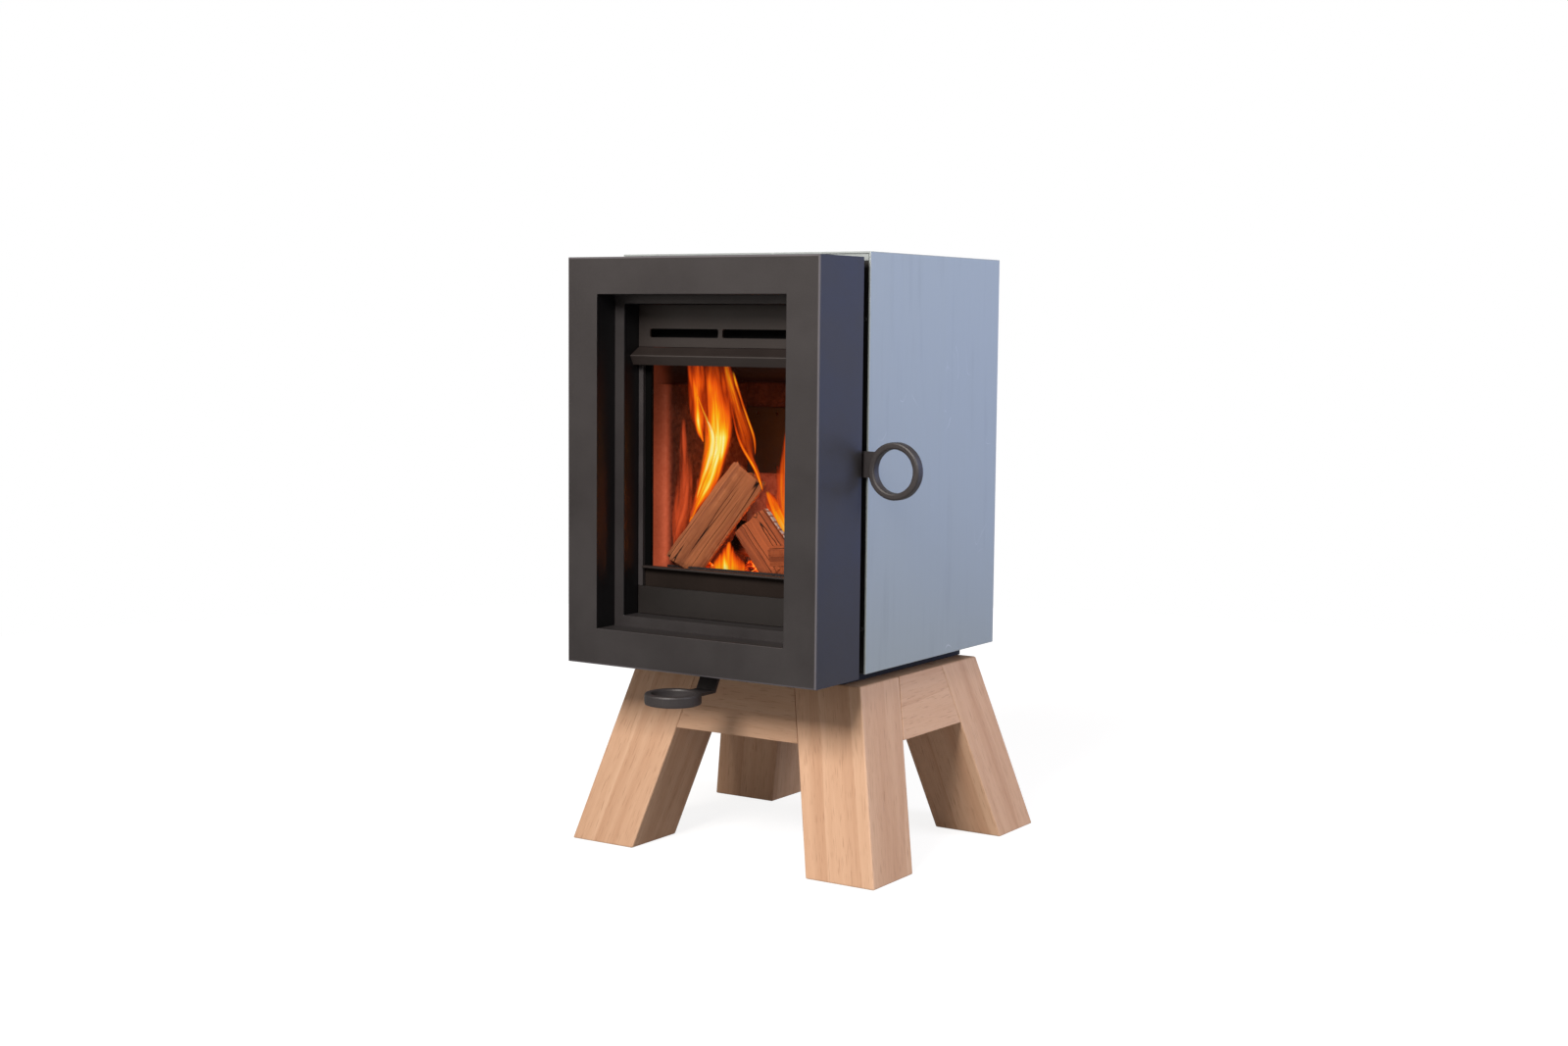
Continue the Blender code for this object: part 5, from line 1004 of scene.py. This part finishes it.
# a tongue of flame: a flat ring extruded from station to station, widened and narrowed on the way, then smoothed
def growFlame(name, plan):
    clearSelection()
    bpy.ops.mesh.primitive_circle_add(vertices=16, radius=1.0, fill_type="NGON", location=(0, 0, 0))
    flame = bpy.context.active_object
    for layer in ("edge", "hotness", "rise"):
        flame.data.attributes.new(layer, "FLOAT", "POINT")
    flame.data.attributes.new("flow", "FLOAT_VECTOR", "POINT")
    bpy.ops.object.mode_set(mode="EDIT")
    bpy.ops.mesh.select_all(action="SELECT")
    stations = plan["stations"]
    turn = 0.5  # the flat side looks towards the glass's right
    wide = Vector((math.cos(turn), math.sin(turn), 0))
    before = None
    travelled = 0.0
    for index, (x, y, z, half, heat) in enumerate(stations):
        centre = hearth + Vector((x, y, z))
        if before is None:
            bpy.ops.transform.resize(value=(half, half * 0.25, 1), center_override=(0, 0, 0))
            bm = bmesh.from_edit_mesh(flame.data)
            bmesh.ops.rotate(bm, verts=bm.verts, cent=(0, 0, 0), matrix=Matrix.Rotation(turn, 3, "Z"))
            bmesh.update_edit_mesh(flame.data)
            bpy.ops.transform.translate(value=centre)
        else:
            travelled += (centre - before[0]).length
            bpy.ops.mesh.extrude_region_move(TRANSFORM_OT_translate={"value": centre - before[0]})
            bpy.ops.transform.resize(value=(half / before[1], half / before[1], 1), center_override=centre)
        bm = bmesh.from_edit_mesh(flame.data)
        layers = bm.verts.layers
        for vertex in bm.verts:
            if vertex.select:
                across = (vertex.co - centre).dot(wide)
                vertex[layers.float["edge"]] = min(1.0, abs(across) / half)
                vertex[layers.float["hotness"]] = heat
                vertex[layers.float["rise"]] = index / (len(stations) - 1)
                vertex[layers.float_vector["flow"]] = (across, len(name) * 0.37, travelled)
        bmesh.update_edit_mesh(flame.data)
        before = (centre, half)
    bpy.ops.mesh.select_all(action="SELECT")
    bpy.ops.mesh.normals_make_consistent(inside=False)
    bpy.ops.object.mode_set(mode="OBJECT")
    smooth = flame.modifiers.new("smooth", "SUBSURF")
    smooth.levels = 2
    smooth.render_levels = 2
    applyAll(flame)
    bpy.ops.object.shade_smooth()
    return finishPiece(flame, name, plan["finish"], "stove_body")


for name, plan in flamePlans.items():
    growFlame(name, plan)
print("flames: done")


# Room, light and camera

roomLook = {"floorRadius": 2.6, "floor": "#8C8C8C", "floorSeen": 0.86, "floorGlow": 0.10, "rimGlow": 1.0,
            "sky": "#FFFFFF", "skyStrength": 1.0, "softColour": "#FFF1E4", "softLight": 0.26}


def layFloor():
    clearSelection()
    bpy.ops.mesh.primitive_circle_add(vertices=96, radius=roomLook["floorRadius"], fill_type="NGON",
                                      location=(0, 0, -0.0005))
    floor = bpy.context.active_object
    floor.name = "studio_floor"
    finish, tree, shader = newFinish("pale_studio_floor", {
        "Base Color": toLinear(roomLook["floor"]), "Roughness": 0.9, "Specular IOR Level": 0.1,
        "Emission Color": (1, 1, 1, 1)})
    coords = addNode(tree, "ShaderNodeTexCoord").outputs["Object"]
    away = addNode(tree, "ShaderNodeVectorMath", {"operation": "LENGTH"}, {0: coords})
    glow = addNode(tree, "ShaderNodeMapRange", {
        1: 0.9, 2: roomLook["floorRadius"] * 0.85, 3: roomLook["floorSeen"], 4: roomLook["rimGlow"],
        "interpolation_type": "SMOOTHSTEP",
    }, {0: away.outputs["Value"]})
    # white where it is looked at, but it throws only a little light back up at the stove
    seen = addNode(tree, "ShaderNodeLightPath").outputs["Is Camera Ray"]
    strength = addNode(tree, "ShaderNodeMix", {"data_type": "FLOAT", 2: roomLook["floorGlow"]},
                       {0: seen, 3: glow.outputs[0]})
    tree.links.new(strength.outputs[0], shader.inputs["Emission Strength"])
    floor.data.materials.append(finish)
    world = bpy.data.worlds.new("studio_sky")
    bpy.context.scene.world = world
    world.use_nodes = True
    sky = world.node_tree.nodes["Background"]
    seen = addNode(world.node_tree, "ShaderNodeLightPath").outputs["Is Camera Ray"]
    shade = addNode(world.node_tree, "ShaderNodeMix",
                    {"data_type": "RGBA", 6: toLinear(roomLook["softColour"]), 7: toLinear(roomLook["sky"])},
                    {0: seen})
    world.node_tree.links.new(shade.outputs[2], sky.inputs["Color"])
    strength = addNode(world.node_tree, "ShaderNodeMapRange", {3: roomLook["softLight"], 4: roomLook["skyStrength"]},
                       {0: seen})
    world.node_tree.links.new(strength.outputs[0], sky.inputs["Strength"])


# place, aim and size in metres, power in watts
lampPlans = {
    "key_softbox": {"place": (0.3, -3.0, 2.45), "aim": (0.0, 0.0, 0.4), "size": 1.2, "power": 145,
                    "colour": "#FFF8F2"},
    "side_softbox": {"place": (2.7, 0.6, 1.9), "aim": (0.1, 0.0, 0.5), "size": 1.8, "power": 58, "colour": "#EEF2FF"},
    "cool_reflector": {"place": (1.9, 2.9, 0.75), "aim": (0.0, 0.0, 0.5), "size": 2.4, "power": 23,
                       "colour": "#86AAFF", "glossOnly": True},
    "front_reflector": {"place": (-1.9, -3.1, 1.9), "aim": (0.0, 0.0, 0.5), "size": 2.2, "power": 22,
                        "colour": "#FFF4EE", "glossOnly": True},
}

# the fire's own light: place from the front middle of the hearth
fireLamps = {
    "fire_light_low": {"place": (0.026, 0.126, 0.064), "size": 0.012, "power": 0.36, "colour": "#FF8A3C"},
    "fire_light_high": {"place": (-0.03, 0.120, 0.190), "size": 0.012, "power": 0.12, "colour": "#FF8A3C"},
}


def hangLamps():
    for name, plan in lampPlans.items():
        data = bpy.data.lights.new(name, "AREA")
        data.shape = "SQUARE"
        data.size = plan["size"]
        data.energy = plan["power"]
        data.color = toLinear(plan["colour"])[:3]
        lamp = bpy.data.objects.new(name, data)
        lamp.location = plan["place"]
        lamp.visible_camera = False
        lamp.visible_diffuse = not plan.get("glossOnly", False)
        lamp.rotation_euler = (Vector(plan["aim"]) - Vector(plan["place"])).to_track_quat("-Z", "Y").to_euler()
        bpy.context.scene.collection.objects.link(lamp)
    for name, plan in fireLamps.items():
        data = bpy.data.lights.new(name, "POINT")
        data.energy = plan["power"]
        data.color = toLinear(plan["colour"])[:3]
        data.shadow_soft_size = plan["size"]
        lamp = bpy.data.objects.new(name, data)
        lamp.location = hearth + Vector(plan["place"])
        bpy.context.scene.collection.objects.link(lamp)


cameraLook = {
    "place": (1.57758, -2.45918, 0.7233), "azimuth": 0.575260446, "pitch": 0.0924241165, "roll": 0.00932660027,
    "focal": 2145.487 / 1600 * 36,  # mm on a 36 mm wide sensor
}


def standCamera():
    look = cameraLook
    az = look["azimuth"]
    pitch = look["pitch"]
    forward = Vector((-math.sin(az) * math.cos(pitch), math.cos(az) * math.cos(pitch), -math.sin(pitch)))
    right = Vector((math.cos(az), math.sin(az), 0))
    up = right.cross(forward)
    turnedRight = right * math.cos(look["roll"]) + up * math.sin(look["roll"])
    turnedUp = up * math.cos(look["roll"]) - right * math.sin(look["roll"])
    data = bpy.data.cameras.new("camera")
    data.sensor_width = 36
    data.lens = look["focal"]
    data.clip_end = 100
    camera = bpy.data.objects.new("camera", data)
    turn = Matrix((turnedRight, turnedUp, -forward)).transposed().to_4x4()
    camera.matrix_world = Matrix.Translation(look["place"]) @ turn
    bpy.context.scene.collection.objects.link(camera)
    bpy.context.scene.camera = camera


layFloor()
hangLamps()
standCamera()
bpy.context.scene.view_settings.view_transform = "Standard"
print("room, light and camera: done")
